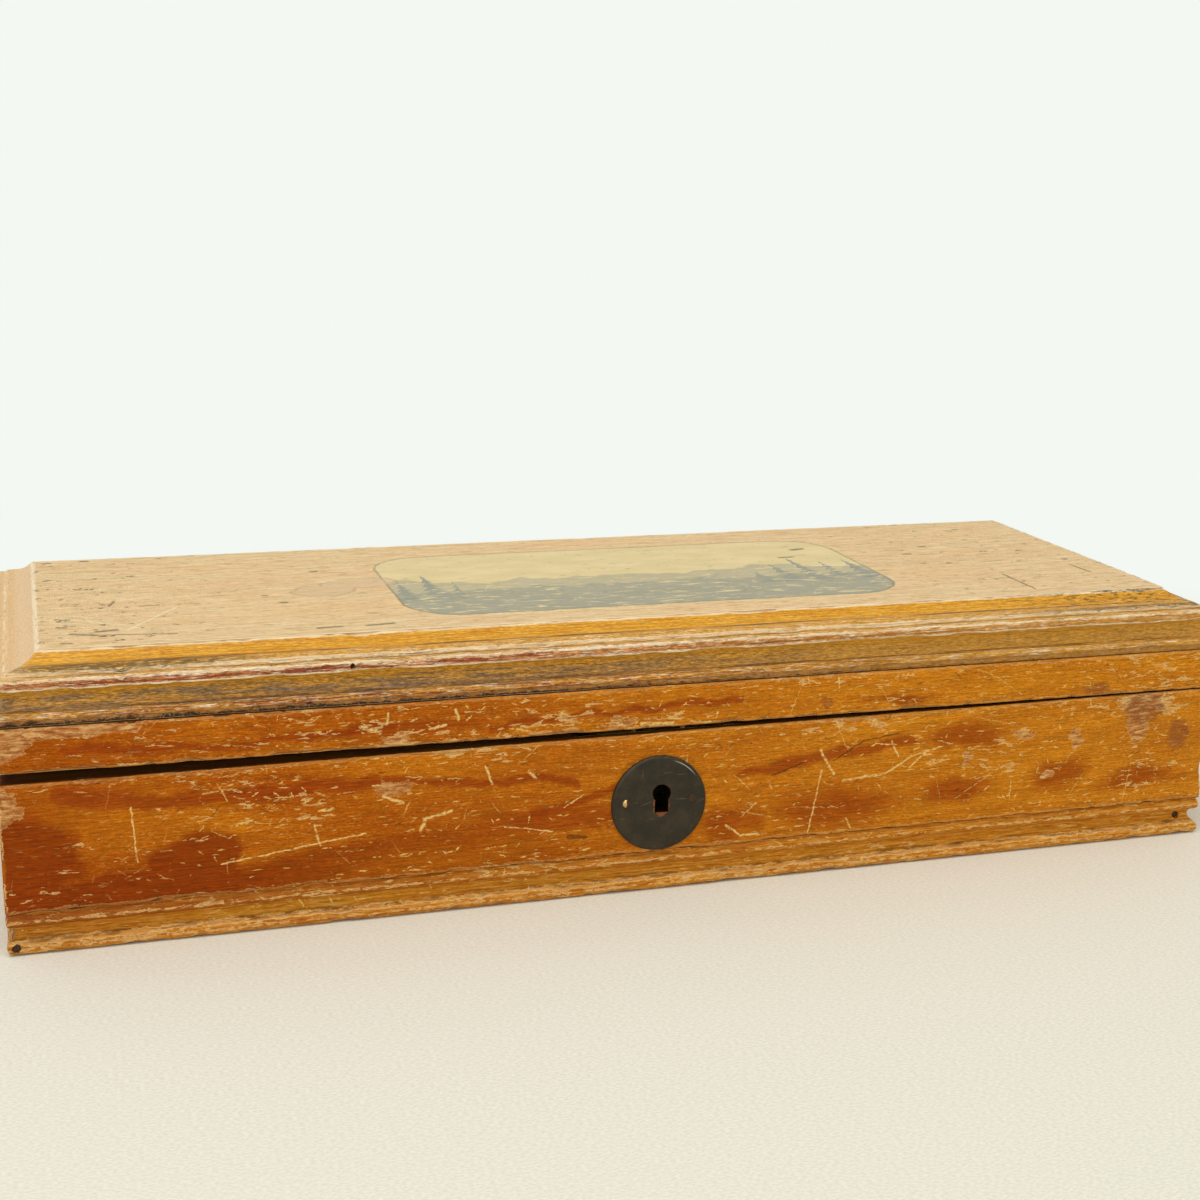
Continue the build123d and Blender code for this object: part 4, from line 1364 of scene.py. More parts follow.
# %% Raw pine
raw_pine, given, result = effect("raw pine", ("Colour", "Height"))
figure = use(pine_figure, Vector=given["Vector"])
blush = cloud(given["Vector"], (26, 8, 8), 2.0)
wood = paint(soft(blush, 0.35, 0.7), tone(226, 190, 134), tone(214, 164, 108))
wood = paint(figure["Growth"] * 0.6, wood, tone(190, 130, 70))
wood = paint(figure["Dashes"] * 0.3, wood, tone(150, 104, 66))
light = soft(figure["Fibre"], 0.25, 0.75, 0.82, 1.08)
wood = shaded(wood, light)
give(result, Colour=wood, Height=figure["Fibre"])

# %% [markdown]
# ## Old amber varnish
#
# The case was stained and varnished in one warm coat. A hundred years have split it
# into layers of history, and the material is built in the same order: wood figure
# under the coat, darker pools where it was laid on thick, the mouldings rubbed in
# streaks, then wear, flakes and scratches down to pale wood, and last dirt, dust and
# painted shade in the seam.

# %% The varnished material: measures and the coat's own colour
varnished_pine, tree = material("varnished pine")
spread, rest, near, lost = board_measures(tree)
place_x = parts(rest)[0]
along, reach, inset = parts(spread)
flat = spread * (1.0, 1.0, 0.0)
shaky = wobble(flat, 1.6, (0.8, 0.9))
pooled = wobble(flat, 9.0, (14.0, 6.0))
torn = wobble(flat, 2.2, (6.0, 4.0))
figure = use(pine_figure, Vector=spread, Wander=1.2, Ring_Width=7.0)

BAND_START, BAND_SPAN = -5.0, 80.0
amber, deep_amber, pool = tone(170, 84, 3), tone(156, 71, 2), tone(134, 51, 2)


def band_place(level):
    return (level - BAND_START) / BAND_SPAN


band_shift = times_plus(cloud(spread, (3, 0.8, 0.8)), 1.4, -0.7)
band_value = (reach + band_shift - BAND_START) / BAND_SPAN
coat = tint_scale(band_value, [(0.0, tone(196, 124, 52)), *[
    (band_place(case_marks[mark] + shift), tone(*colour)) for mark, shift, colour in (
        ("foot", -0.5, (194, 118, 44)), ("foot", 0.4, (160, 92, 26)),
        ("foot", 1.6, (206, 148, 36)), ("cove", -0.6, (192, 134, 28)),
        ("cove", 0.3, (164, 84, 20)), ("bead", -0.6, (170, 88, 20)))],
    (band_place(quirk_top + 0.3), amber), (1.0, amber)])
glow = cloud(spread, (48, 15, 15), 2.0)
coat = paint(soft(glow, 0.4, 0.68, 0.0, 0.55), coat, tone(204, 124, 16))
coat = paint(soft(glow, 0.32, 0.5, 0.45, 0.0), coat, deep_amber)
coat = paint(soft(place_x, -100, 90, 0.0, 0.66), coat, tone(210, 136, 26))
coat = paint(figure["Growth"] * 0.22, coat, tone(146, 62, 5))
mottle = cloud(spread, (3.6, 1.3, 1.4), 5.0, 0.72)
coat = paint(soft(mottle, 0.5, 0.72, 0.0, 0.42), coat, tone(212, 140, 36))
pepper = cloud(spread, (0.8, 0.34, 0.4), 3.0, 0.6)
coat = paint(soft(pepper, 0.54, 0.7, 0.0, 0.4), coat, tone(224, 158, 62))
coat = paint(soft(pepper, 0.3, 0.45, 0.45, 0.0), coat, tone(112, 50, 8))
print("coat:", len(tree.nodes), "nodes so far")

# %% [markdown]
# Some of the coat's history is particular: two rounded pools in the lower left corner
# where the box once stood wet, and long wavy streaks under the lip. They are placed one
# by one and bent by slow noise, because a stain never follows a ruler.

# %% Placed pools, bands and streaks of the front
front_pools = patches(pooled, [((-143, 20), (17, 12.5)), ((-104, 17.0), (11, 8.2)),
    ((-115, 10.5), (44, 7.0)), ((-58, 12.0), (44, 8.5))], core=0.72)
soft_pools = patches(pooled, [((17, 15), (13, 7)), ((44, 16.5), (23, 8)), ((76, 18), (14, 5)),
    ((103, 20), (12, 6)), ((127, 16.5), (15, 4)), ((78, 31), (17, 4)), ((-24, 20), (34, 4.6)),
    ((-60, RAIL_ZERO + 4), (30, 2.5)), ((62, RAIL_ZERO + 2.5), (13, 1.6))], core=0.3)
front_bands = strokes(pooled, [((-132, 34.6), (-104, 31.4), 2.6), ((-104, 31.4), (-66, 32.8), 2.4),
    ((-66, 32.8), (-20, 29), 1.6), ((20, 27), (62, 31), 2.0), ((-30, 22), (0, 28), 1.8),
    ((-130, RAIL_ZERO + 4.5), (-92, RAIL_ZERO + 3.2), 1.4),
    ((-92, RAIL_ZERO + 3.2), (-60, RAIL_ZERO + 5), 1.3),
    ((-40, RAIL_ZERO + 3), (20, RAIL_ZERO + 5.5), 1.3)])
on_board = soft(reach, quirk_top - 0.2, quirk_top + 0.4)
coat = paint(soft(place_x, -146, -96, 0.5, 0.0), coat, deep_amber)
coat = paint(front_pools * (on_board * soft(place_x, -100, -50, 0.86, 0.42)), coat, pool)
coat = paint(soft_pools * 0.8, coat, tone(152, 66, 6))
coat = paint(front_bands * 0.74, coat, tone(146, 57, 6))
coat = paint(figure["Dashes"] * 0.32, coat, tone(128, 58, 6))
light = (soft(figure["Fibre"], 0.28, 0.72, 0.78, 1.2)
    * soft(cloud(spread, (1.9, 0.22, 0.3), 4.0, 0.72), 0.3, 0.7, 0.76, 1.22))
coat = shaded(coat, light)

moulding = soft(reach, quirk_top - 0.4, quirk_top + 0.1, 1.0, 0.0)
rubbed = cloud(spread, (5.5, 0.45, 0.5), 5.0, 0.74, 0.3)
rubbed_tint = tint_scale(rubbed, [(0.32, tone(88, 40, 14)), (0.42, tone(160, 86, 22)),
    (0.52, tone(204, 138, 40)), (0.6, tone(216, 160, 78)), (0.7, tone(238, 206, 142))])
coat = paint(moulding * 0.5, coat, rubbed_tint)
red_bead = level_bands(reach, [(between(case_marks["cove"], case_marks["bead"]), 2.4)])
coat = paint(red_bead * soft(place_x, -120, 20, 0.55, 0.1), coat, tone(132, 54, 16))
print("with its pools and streaks:", len(tree.nodes), "nodes")

# %% [markdown]
# Wear comes next. Edges and flakes show raw pine with a rim of lifted varnish, and on
# bare spots the wood has taken up some of the red stain. Key marks crowd where a hand
# reaches for the lock, so the scattered scratches are denser in some zones, and the
# ones that everybody would remember are drawn one by one.

# %% Wear, flakes and scratches down to the wood
raw = use(raw_pine, Vector=spread)
edge = use(edge_wear, Vector=spread, Near=near, Lost=lost, Width=0.7)
right_end = soft(place_x, 62, 112, 0.0, 1.0)
lid_side = soft(reach, RAIL_ZERO - 2, RAIL_ZERO, 0.0, soft(place_x, 10, 110, 0.25, -0.1))
near_lip = soft(reach, 31, 37.5, 0.0, 0.25) * (reach < RAIL_ZERO - 2)
wear_zone = cloud(spread, (38, 16, 16), 2.0)
flake_amount = (soft(wear_zone, 0.42, 0.7, -0.08, 0.36)
    + times_plus(right_end, 0.15, lid_side + near_lip))
flake = use(flaking, Vector=spread, Amount=flake_amount)
scratch_zone = soft(cloud(spread, (30, 22, 22), 1.0), 0.35, 0.62)
quiet = soft(place_x, -138, -80, 0.2, 1.0)
key_marks = use(scratches, Vector=shaky, Cell=7.5, Length=3.4, Width=0.24, Share=0.45, Lean=5.0)
flecks = use(scratches, Vector=shaky, Cell=2.8, Length=1.1, Width=0.23, Share=0.5, Lean=2.6)
dashes = use(scratches, Vector=shaky * (0.45, 1.0, 1.0), Cell=2.0, Length=0.6, Width=0.18, Share=0.5,
    Lean=1.2)
hairs = use(scratches, Vector=shaky, Cell=15.0, Length=8.0, Width=0.17, Share=0.55, Lean=9.0)
scratched = highest(hairs["Mask"] * 0.6, key_marks["Mask"] * scratch_zone)
scratched = highest(scratched, flecks["Mask"] * times_plus(scratch_zone, 0.7, 0.3),
    dashes["Mask"] * 0.75)
scratched = scratched * quiet
named_marks = strokes(shaky, [((-118.1, 31.5), (-117.2, 19.0), 0.26),
    ((-99.7, 16.7), (-68, 20.6), 0.26), ((-78.3, 26.8), (-75.1, 27.1), 0.36),
    ((-63.9, 28.8), (-59.5, 27.0), 0.43), ((-55.7, 20.2), (-54.5, 22.7), 0.54),
    ((-54.5, 22.7), (-48.6, 24.1), 0.54), ((-30.8, 31.9), (-29.1, 29.9), 0.43),
    ((-36.4, 19.1), (-25.3, 17.0), 0.22), ((16.9, 14.4), (20.5, 11.5), 0.43),
    ((20.5, 11.5), (26.0, 11.4), 0.43), ((40.6, 25.7), (37.7, 10.5), 0.29),
    ((46.2, 22.7), (57.0, 23.6), 0.42), ((57.0, 23.6), (64.0, 27.4), 0.36),
    ((64.0, 27.4), (71.9, 29.2), 0.3), ((47.3, 13.2), (48.6, 10.6), 0.29),
    ((-40.7, 34.0), (-39.4, 29.5), 0.36), ((58.5, 31.4), (60.5, 27.6), 0.32),
    ((63.5, 24.6), (67.5, 28.0), 0.3), ((40.2, 30.8), (43.8, 24.6), 0.42),
    ((-79.3, 23.7), (-78.1, 18.9), 0.3), ((-68.7, RAIL_ZERO + 5.0), (-65.4, RAIL_ZERO + 4.4), 0.65),
    ((-62.6, RAIL_ZERO + 7.9), (-63.0, RAIL_ZERO + 5.4), 0.36),
    ((-53.4, RAIL_ZERO + 3.6), (-49.8, RAIL_ZERO + 4.4), 0.45),
    ((-46.9, RAIL_ZERO + 5.4), (-47.6, RAIL_ZERO + 7.6), 0.43),
    ((-4.5, RAIL_ZERO + 1.4), (3.4, RAIL_ZERO + 0.9), 0.5)])
worn_through = soft(cloud(spread, (1.1, 0.7, 0.7), 2.0, 0.6), 0.36, 0.56, 0.2, 1.0)
named_marks = named_marks * worn_through
bruises = patches(torn, [((-147, 33), (9.0, 7.0)), ((-61.6, 30.6), (5.8, 2.6)),
    ((108.2, 28.0), (2.3, 3.4)), ((78.7, 25.9), (1.9, 2.4)), ((127, 36), (11.0, 4.2)),
    ((125.5, 30), (4.2, 6.4)), ((94, 30.5), (4.2, 1.6)), ((100.5, 19.4), (2.4, 1.7)),
    ((-9.5, RAIL_ZERO + 1.8), (4.6, 2.4)), ((-145, RAIL_ZERO + 7), (10.0, 6.0)),
    ((-127, RAIL_ZERO + 9), (17.0, 2.8)), ((-61, RAIL_ZERO + 2), (4.0, 1.8))], core=0.4)
bruise_grain = cloud(spread, (2.6, 0.7, 0.8), 5.0, 0.72, 0.4)
bruise_level = times_plus(bruise_grain, 1.3, bruises - 1.15)
bruises = soft(bruise_level, 0.0, 0.2)
bruise_rim = soft(abs(bruise_level + 0.01), 0.0, 0.06, 0.8, 0.0)
sheltered = level_bands(reach, [
    (quirk_top, 1.5), (body_height, 1.6), (RAIL_ZERO, 1.6), (RAIL_ZERO + RAIL_HEIGHT, 1.5)])
edge_share = times_plus(sheltered, -0.5, 0.8)
bare = highest(edge["Bare"] * edge_share, flake["Bare"] * 0.85)
ruddy = cloud(spread, (3.4, 0.8, 1.2), 5.0, 0.7)
stained_wood = paint(soft(ruddy, 0.4, 0.56, 0.3, 0.95), raw["Colour"], tone(204, 142, 66))
surface = paint(bare * 0.85, coat, stained_wood)
bruised = tint_scale(ruddy, [(0.38, tone(226, 186, 124)), (0.48, tone(196, 142, 84)),
    (0.6, tone(146, 84, 44))])
surface = paint(bruises * 0.72, surface, bruised)
rim = highest(bruise_rim, edge["Rim"] * edge_share, flake["Rim"])
surface = paint(rim * 0.7, surface, tone(236, 202, 132))
bare = highest(bare, bruises)
surface = paint(scratched * 0.94, surface, tone(234, 196, 110))
surface = paint(named_marks * 0.88, surface, tone(234, 198, 120))
print("with its wear:", len(tree.nodes), "nodes")

# %% [markdown]
# The quirk is darkened along its length, and dirt stays in the cove where no cloth
# reaches. The lips of the seam and the ledge in the lid's joint get painted shade, a
# near-black brown, so that seam and joint read as dark gaps; further in, each lip keeps
# a mid brown. The inside never had any varnish, so a few millimetres in from the face
# the raw pine takes over. Last, the colours and masks go into one surface.

# %% Dirt and a dark quirk, painted shade in the seam and joint, dust, the unvarnished inside, and the surface itself
quirk_line = abs(reach - (between(BEAD_TOP, quirk_top) - 0.1))
dirt_noise = cloud(spread, (5, 1.2, 1.2), 3.0, 0.6)
in_quirk = soft(times_plus(dirt_noise, 0.9, quirk_line), 0.42, 0.85, 1.0, 0.0)
cove_line = abs(reach - (case_marks["foot"] + 0.7))
cove_dirt = soft(cove_line, 0.3, 1.0, 1.0, 0.0) * soft(dirt_noise, 0.42, 0.62, 0.0, 0.6)
dirt_and_shade = highest(in_quirk, cove_dirt)
# Painted shade on the top of the case wall and the bottom of the lid rails, the two lips of the seam.
case_lip_shade = (soft(reach, case_marks["frieze"] + 0.5, case_marks["frieze"] + 1.1)
    * (reach < case_marks["lip"] + 0.4))
rail_lip_shade = soft(reach, rail_marks["inside"] - 0.4, rail_marks["inside"])
rail_lip_shade = rail_lip_shade * soft(reach, rail_marks["lip"] - 1.1, rail_marks["lip"] - 0.5, 1.0, 0.0)
# Painted shade on the rail's upward ledge inside the lid board's joint.
joint_ledge_shade = (soft(reach, rail_marks["frieze"] - 0.1, rail_marks["frieze"] + 0.3)
    * ((reach < rail_marks["top"]) * soft(place_x, -20, 120, 1.0, 0.6)))
# Painted shade: the wood round the keyhole, seen only through the hole, is made near-black.
keyhole_shade = patches(flat, [(disc_centre, (6.0, 6.0))])
seam_lip_shade = highest(case_lip_shade, rail_lip_shade)
dirt_and_shade = highest(dirt_and_shade, joint_ledge_shade, seam_lip_shade * soft(mottle, 0.6, 0.74, 1.0, 0.62))
# Dirt in the cove, the dark quirk, and painted shade on the lips and joint ledge, in one dark brown.
surface = paint(dirt_and_shade * 0.88, surface, tone(58, 34, 12))
# Further in from the face, the lips take a mid brown instead of the painted shade.
surface = paint(seam_lip_shade * soft(inset, 2.0, 6.0, 0.0, 0.75), surface, tone(140, 92, 46))
dark_marks = strokes(shaky, [((43.6, 27.9), (51.2, 32.3), 0.3), ((51.2, 32.3), (60.3, 33.4), 0.3),
    ((-21.5, 15.2), (-17.5, 14.8), 0.8), ((28, 25.6), (36, 28.2), 0.35)])
brown_spots = patches(torn, [((41.4, RAIL_ZERO + 3.2), (1.9, 2.6)), ((127, 34.5), (6.5, 5.5)),
    ((113, RAIL_ZERO + 1.5), (5.0, 1.8)), ((137, 27), (3.5, 5.0))])
surface = paint(brown_spots * soft(ruddy, 0.36, 0.6, 0.3, 0.8), surface, tone(138, 78, 40))
dark_flecks = use(scratches, Vector=shaky + (40.0, 11.0, 0.0), Cell=5.5, Length=1.5, Width=0.3,
    Share=0.3, Lean=2.0)
surface = paint(highest(dark_marks, dark_flecks["Mask"] * 0.8) * 0.7, surface, tone(84, 44, 16))
dust = use(specks, Vector=spread, Cell=12.0, Radius=0.3, Share=0.4)
surface = paint(dust["Mask"] * 0.85, surface, tone(240, 232, 214))
inside = soft(inset, 2.6, 3.2)
surface = paint(highest(0.0, inside - seam_lip_shade), surface, raw["Colour"])
# Painted shade inside the keyhole.
surface = paint(keyhole_shade, surface, tone(22, 14, 8))

bared = highest(bare, inside)
relief = times_plus(figure["Fibre"], 0.4, highest(flake["Bare"], key_marks["Mask"]) * -0.6)
relief = times_plus(rubbed, moulding * 1.2, relief)
normal = bump(relief, 0.6, 0.14)
rough = times_plus(highest(bared, dirt_and_shade), 0.24, soft(figure["Fibre"], 0.2, 0.8, 0.44, 0.58))
finish(Base_Color=surface, Roughness=rough, Normal=normal, Specular_IOR_Level=0.06)

# %% [markdown]
# ## A small picture
#
# The panel shows a lake with firs and hills in a rounded field, printed in blue-grey on
# cream and half rubbed away. It could be an image, but everything here is drawn from
# distances and noise, so it stays sharp at any size.

# %% A small picture for the panel
FIELD_MIDDLE, FIELD_HALF, FIELD_CORNER = (9.5, -2.0), (62.5, 32.0), 14.0
SHORE, FIR_PITCH, FIR_HEIGHT, FIR_GROWTH = -16.0, 7.0, 12.0, 16.0
picture, given, result = effect("small picture", ("Field", "Paint", "Line"))
place = given["Vector"] - (*FIELD_MIDDLE, 0.0)
across, up_page, _ = parts(place)
outside = abs(place) - (FIELD_HALF[0] - FIELD_CORNER, FIELD_HALF[1] - FIELD_CORNER, 0.0)
outside = highest(outside, (0.0, 0.0, 0.0)) * (1, 1, 0)
past_edge = length_of(outside) - FIELD_CORNER
field = soft(past_edge, -0.3, 0.1, 1.0, 0.0)
edge_line = soft(abs(past_edge + 0.2), 0.15, 0.5, 1.0, 0.0)

hill_run = joined(across)
far_ridge = times_plus(cloud(hill_run, (24, 1, 1), 3.0), 30.0, -14.0)
near_ridge = times_plus(cloud(hill_run, (11, 1, 1), 4.0), 14.0, -15.0)
far_hills = soft(up_page - far_ridge, -0.6, 0.2, 0.55, 0.0)
near_hills = soft(up_page - near_ridge, -0.6, 0.2, 0.85, 0.0)
tree_cell = maths("FLOOR", across / FIR_PITCH)
tree_luck = node("TexWhiteNoise", {"W": tree_cell}, noise_dimensions="1D")["Value"]
from_trunk = abs(across - tree_cell * FIR_PITCH - FIR_PITCH / 2)
height_share = (up_page - SHORE) / times_plus(tree_luck, FIR_GROWTH, FIR_HEIGHT)
tooth = times_plus(maths("FRACT", height_share * 6.0), -0.9, 1.25)
branch = (1.0 - height_share) * (tooth * 3.3)
fir = (from_trunk < branch) * (height_share > 0.0)
grove = fir * highest(across > 27.0, across < -46.0)
lake = soft(up_page, SHORE - 0.5, SHORE + 0.2, 1.0, 0.0)
ripples = cloud(given["Vector"], (9, 0.6, 1), 3.0, 0.6)
lake = lake * soft(ripples, 0.42, 0.56, 0.95, 0.35)
painted = highest(far_hills, near_hills, grove, lake)
rubbed_off = cloud(given["Vector"], (6, 1.6, 1), 5.0, 0.68, 0.5)
kept = soft(rubbed_off, 0.36, 0.46)
give(result, Field=field, Line=edge_line, Paint=field * (painted * kept))

# %% [markdown]
# ## The top board
#
# The lid's board was left pale, and only its mouldings were varnished. Each moulding
# has aged in its own way: dust lies in the cove, the fillet is rubbed in pink and dark
# red streaks, the ledges are golden with a whitish line at the step, and the bevel
# still shines like honey. The same *reach* that shaped them now tells them apart.

# %% The top board's mouldings
lid_board_finish, tree = material("lid board")
spread, rest, near, lost = board_measures(tree)
along, level, _ = parts(spread)
place_x, _, place_z = parts(rest)
streak = cloud(spread, (6.5, 0.34, 0.4), 5.0, 0.74, 0.3)
band_shift = times_plus(cloud(spread, (4, 0.6, 0.6), 3.0, 0.6), 1.3, -0.65)
TOP_SPAN = 36.0
banded = (level + band_shift) / TOP_SPAN
AGED_MOULDINGS = (
    ("joint", 0.1, (168, 108, 40)), ("joint", 0.6, (190, 128, 52)), ("bead", -0.6, (198, 138, 56)),
    ("bead", 0.2, (174, 124, 52)), ("bead", 2.2, (198, 144, 62)), ("cove", -2.6, (196, 138, 42)),
    ("cove", -0.3, (196, 138, 40)), ("cove", 0.2, (190, 124, 74)), ("fillet", 0.0, (184, 120, 72)),
    ("arris", 0.1, (200, 150, 72)), ("lower_ledge", -0.2, (204, 154, 88)),
    ("lower_ledge", 0.1, (222, 206, 172)), ("step", 0.2, (210, 176, 122)),
    ("step", 0.6, (208, 150, 54)), ("upper_ledge", -0.3, (206, 152, 66)),
    ("upper_ledge", 0.3, (220, 160, 46)), ("bevel", -0.5, (224, 162, 46)),
    ("bevel", 0.1, (236, 208, 156)), ("bevel", 1.4, (231, 196, 142)))
coat = tint_scale(banded, [(0.0, tone(124, 76, 28)), *[
    ((top_marks[mark] + shift) / TOP_SPAN, tone(*colour)) for mark, shift, colour in AGED_MOULDINGS]])
on_mouldings = soft(level, top_marks["upper_ledge"] - 0.4, top_marks["upper_ledge"], 1.0, 0.0)
on_fillet = level_bands(level, [(between(top_marks["cove"], top_marks["fillet"]), 1.9),
                                (between(top_marks["joint"], top_marks["bead"]), 1.5)])
red_streaks = soft(cloud(spread, (22, 1.1, 1.2), 5.0, 0.72), 0.49, 0.56)
coat = paint(red_streaks * (on_fillet * 0.85), coat, tone(134, 54, 28))
in_cove = level_bands(level, [(top_marks["bead"] + 1.7, 2.7)])
grey_dust = in_cove * soft(cloud(spread, (14, 1.1, 1.2), 5.0, 0.72), 0.44, 0.56, 0.74, 0.0)
coat = paint(grey_dust * soft(place_x, -40, 80, 1.0, 0.3), coat, tone(120, 100, 80))
coat = paint(on_mouldings * soft(place_x, -60, 110, 0.0, 0.6), coat, tone(206, 150, 54))
stepped = level_bands(level, [(between(top_marks["cove"], top_marks["upper_ledge"]), 5.0),
                              (between(top_marks["joint"], top_marks["bead"]), 1.6)], core=0.8)
pale_streaks = soft(streak, 0.54, 0.62) * times_plus(stepped, 0.7, 0.12)
coat = paint(pale_streaks * on_mouldings, coat, tone(234, 220, 190))
coat = paint(on_mouldings * soft(streak, 0.35, 0.43, 0.72, 0.0), coat, tone(92, 58, 24))
print("mouldings:", len(AGED_MOULDINGS), "stops,", len(tree.nodes), "nodes")

# %% [markdown]
# The left ends of the mouldings are the hand's place when the lid is lifted, and there
# the varnish has gone. The pale panel has yellowed unevenly, damp has drawn out its
# grain, and something wet once stood at the left edge of the picture.

# %% The panel, its stains and its picture
on_bevel = level_bands(level, [(between(top_marks["upper_ledge"], top_marks["bevel"]), 3.4)], core=0.7)
honey = cloud(spread, (9, 0.4, 0.6), 3.0, 0.6)
coat = paint(on_bevel * soft(honey, 0.4, 0.62, 0.0, 0.76), coat, tone(190, 122, 18))
coat = paint(on_bevel * soft(streak, 0.55, 0.64, 0.0, 0.6), coat, tone(236, 198, 118))
line_noise = cloud(spread, (16, 0.6, 0.8), 4.0, 0.7)
pale_lines = level_bands(level, [(top_marks["cove"] + 0.2, 0.5), (top_marks["arris"] + 0.1, 0.55),
                                 (top_marks["step"], 0.5)])
dark_lines = level_bands(level, [(top_marks["bead"] + 0.4, 0.5), (top_marks["lower_ledge"] - 1.2, 0.4),
                                 (top_marks["upper_ledge"], 0.45)])
coat = paint(pale_lines * soft(line_noise, 0.42, 0.54, 0.0, 0.8), coat, tone(236, 222, 194))
coat = paint(dark_lines * soft(line_noise, 0.46, 0.56, 0.75, 0.0), coat, tone(98, 66, 34))
left_strip = along > BOARD_SHIFT * (ALL_SIDES.index(LEFT) - 0.5)
handled = highest(left_strip, soft(place_x, -144, -134, 1.0, 0.0)
    * soft(cloud(spread, (8, 2, 2), 3.0), 0.42, 0.52))
handled = handled * soft(level, top_marks["fillet"], top_marks["arris"] + 0.6, 0.0, 0.9)
raw = use(raw_pine, Vector=rest)
on_panel = (soft(level, top_marks["bevel"] - 0.1, top_marks["bevel"] + 0.5)
    * (place_z > RAIL_HEIGHT + 0.5))
pale = paint(0.62, raw["Colour"], tone(232, 205, 156))
blush = cloud(rest, (50, 12, 20), 2.0)
pale = paint(soft(blush, 0.45, 0.7, 0.0, 0.45), pale, tone(230, 186, 132))
soiled = cloud(rest, (5, 4.5, 6), 5.0, 0.7)
pale = paint(soft(soiled, 0.5, 0.66, 0.0, 0.62) * soft(place_x, -130, -96, 1.0, 0.2), pale,
    tone(184, 166, 112))
drawn_grain = cloud(rest, (7, 1.1, 1.2), 5.0, 0.74)
pale = paint(soft(drawn_grain, 0.34, 0.48, 0.85, 0.0), pale, tone(190, 150, 94))
pale = paint(soft(drawn_grain, 0.54, 0.64, 0.0, 0.6), pale, tone(242, 218, 172))
fine_grain = cloud(spread, (1.4, 0.3, 0.4), 5.0, 0.74)
calmer = highest(on_bevel, soft(place_x, -40, 90, 0.0, 0.75))
coat = shaded(coat, soft(fine_grain, 0.36, 0.64, soft(calmer, 0.0, 1.0, 0.6, 0.84),
    soft(calmer, 0.0, 1.0, 1.34, 1.12)))
coat = paint(handled, coat, tone(224, 186, 134))
surface = paint(on_panel, coat, pale)
surface = shaded(surface, soft(fine_grain, 0.3, 0.7, 0.83, 1.12))

page = wobble(rest * (1, 1, 0), 1.8, (0.9, 0.9))
drawn = use(picture, Vector=page)
field_wear = soft(cloud(rest, (7, 2, 4), 5.0, 0.65), 0.3, 0.4)
cream = paint(soft(cloud(rest, (12, 6, 6), 3.0), 0.35, 0.7), tone(214, 196, 142), tone(226, 206, 154))
surface = paint(drawn["Field"] * (field_wear * (on_panel * 0.92)), surface, cream)
surface = paint(drawn["Paint"] * (on_panel * 0.82), surface, tone(126, 133, 126))
surface = paint(drawn["Line"] * (field_wear * (on_panel * 0.55)), surface, tone(120, 112, 84))
spill_place = wobble(page, 6.0, (5.0, 6.0))
spill = None
for centre, size in (((-68.6, -3.0), (7.6, 5.6)), ((-59.4, 3.0), (9.6, 5.4))):
    lobe = length_of((spill_place - (*centre, 0.0)) / (*size, 1.0))
    spill = lobe if spill is None else lowest(spill, lobe)
surface = paint(soft(spill, 0.94, 1.04, 0.5, 0.0), surface, tone(206, 174, 136))
surface = paint(soft(abs(spill - 1.0), 0.02, 0.09, 0.45, 0.0), surface, tone(172, 138, 102))
print("with the panel:", len(tree.nodes), "nodes")

# %% [markdown]
# Things are put down on a lid. Small nicks crowd at both ends of the panel, and some
# scratches are placed one by one. Dirt has settled along the foot of the bevel and on the
# step towards the right, and the arris of the panel is polished almost white.

# %% Nicks, scratches and worn arrises of the top board
edge = use(edge_wear, Vector=spread, Near=near, Lost=lost, Width=0.5)
worn = (highest(edge["Bare"], edge["Rim"])
    * soft(level, top_marks["joint"] + 1.0, top_marks["joint"] + 1.8, 0.1, 0.75))
surface = paint(worn, surface, paint(soft(honey, 0.4, 0.6), tone(238, 218, 176), tone(222, 186, 136)))
bevel_arris = level_bands(level, [(top_marks["bevel"] + 0.1, 0.9)])
surface = paint(bevel_arris * soft(streak, 0.46, 0.56, 0.15, 0.9), surface, tone(240, 222, 182))
nick_zone = highest(soft(place_x, -122, -84, 1.0, 0.25), soft(place_x, 60, 100) * 0.7)
nicks = use(scratches, Vector=rest * (1, 0.5, 0), Cell=5.0, Length=1.5, Width=0.5, Share=0.5, Lean=0.8)
fine_nicks = use(scratches, Vector=rest * (1, 0.5, 0), Cell=2.6, Length=0.8, Width=0.3, Share=0.3,
    Lean=0.8)
pale_nicks = use(scratches, Vector=page + (31, 17, 0), Cell=7.0, Length=2.6, Width=0.28, Share=0.4,
    Lean=5.0)
nicked = highest(nicks["Mask"], fine_nicks["Mask"]) * nick_zone
surface = paint(nicked * on_panel * 0.85, surface, tone(74, 68, 46))
surface = paint(pale_nicks["Mask"] * (on_panel * 0.5), surface, tone(240, 216, 170))
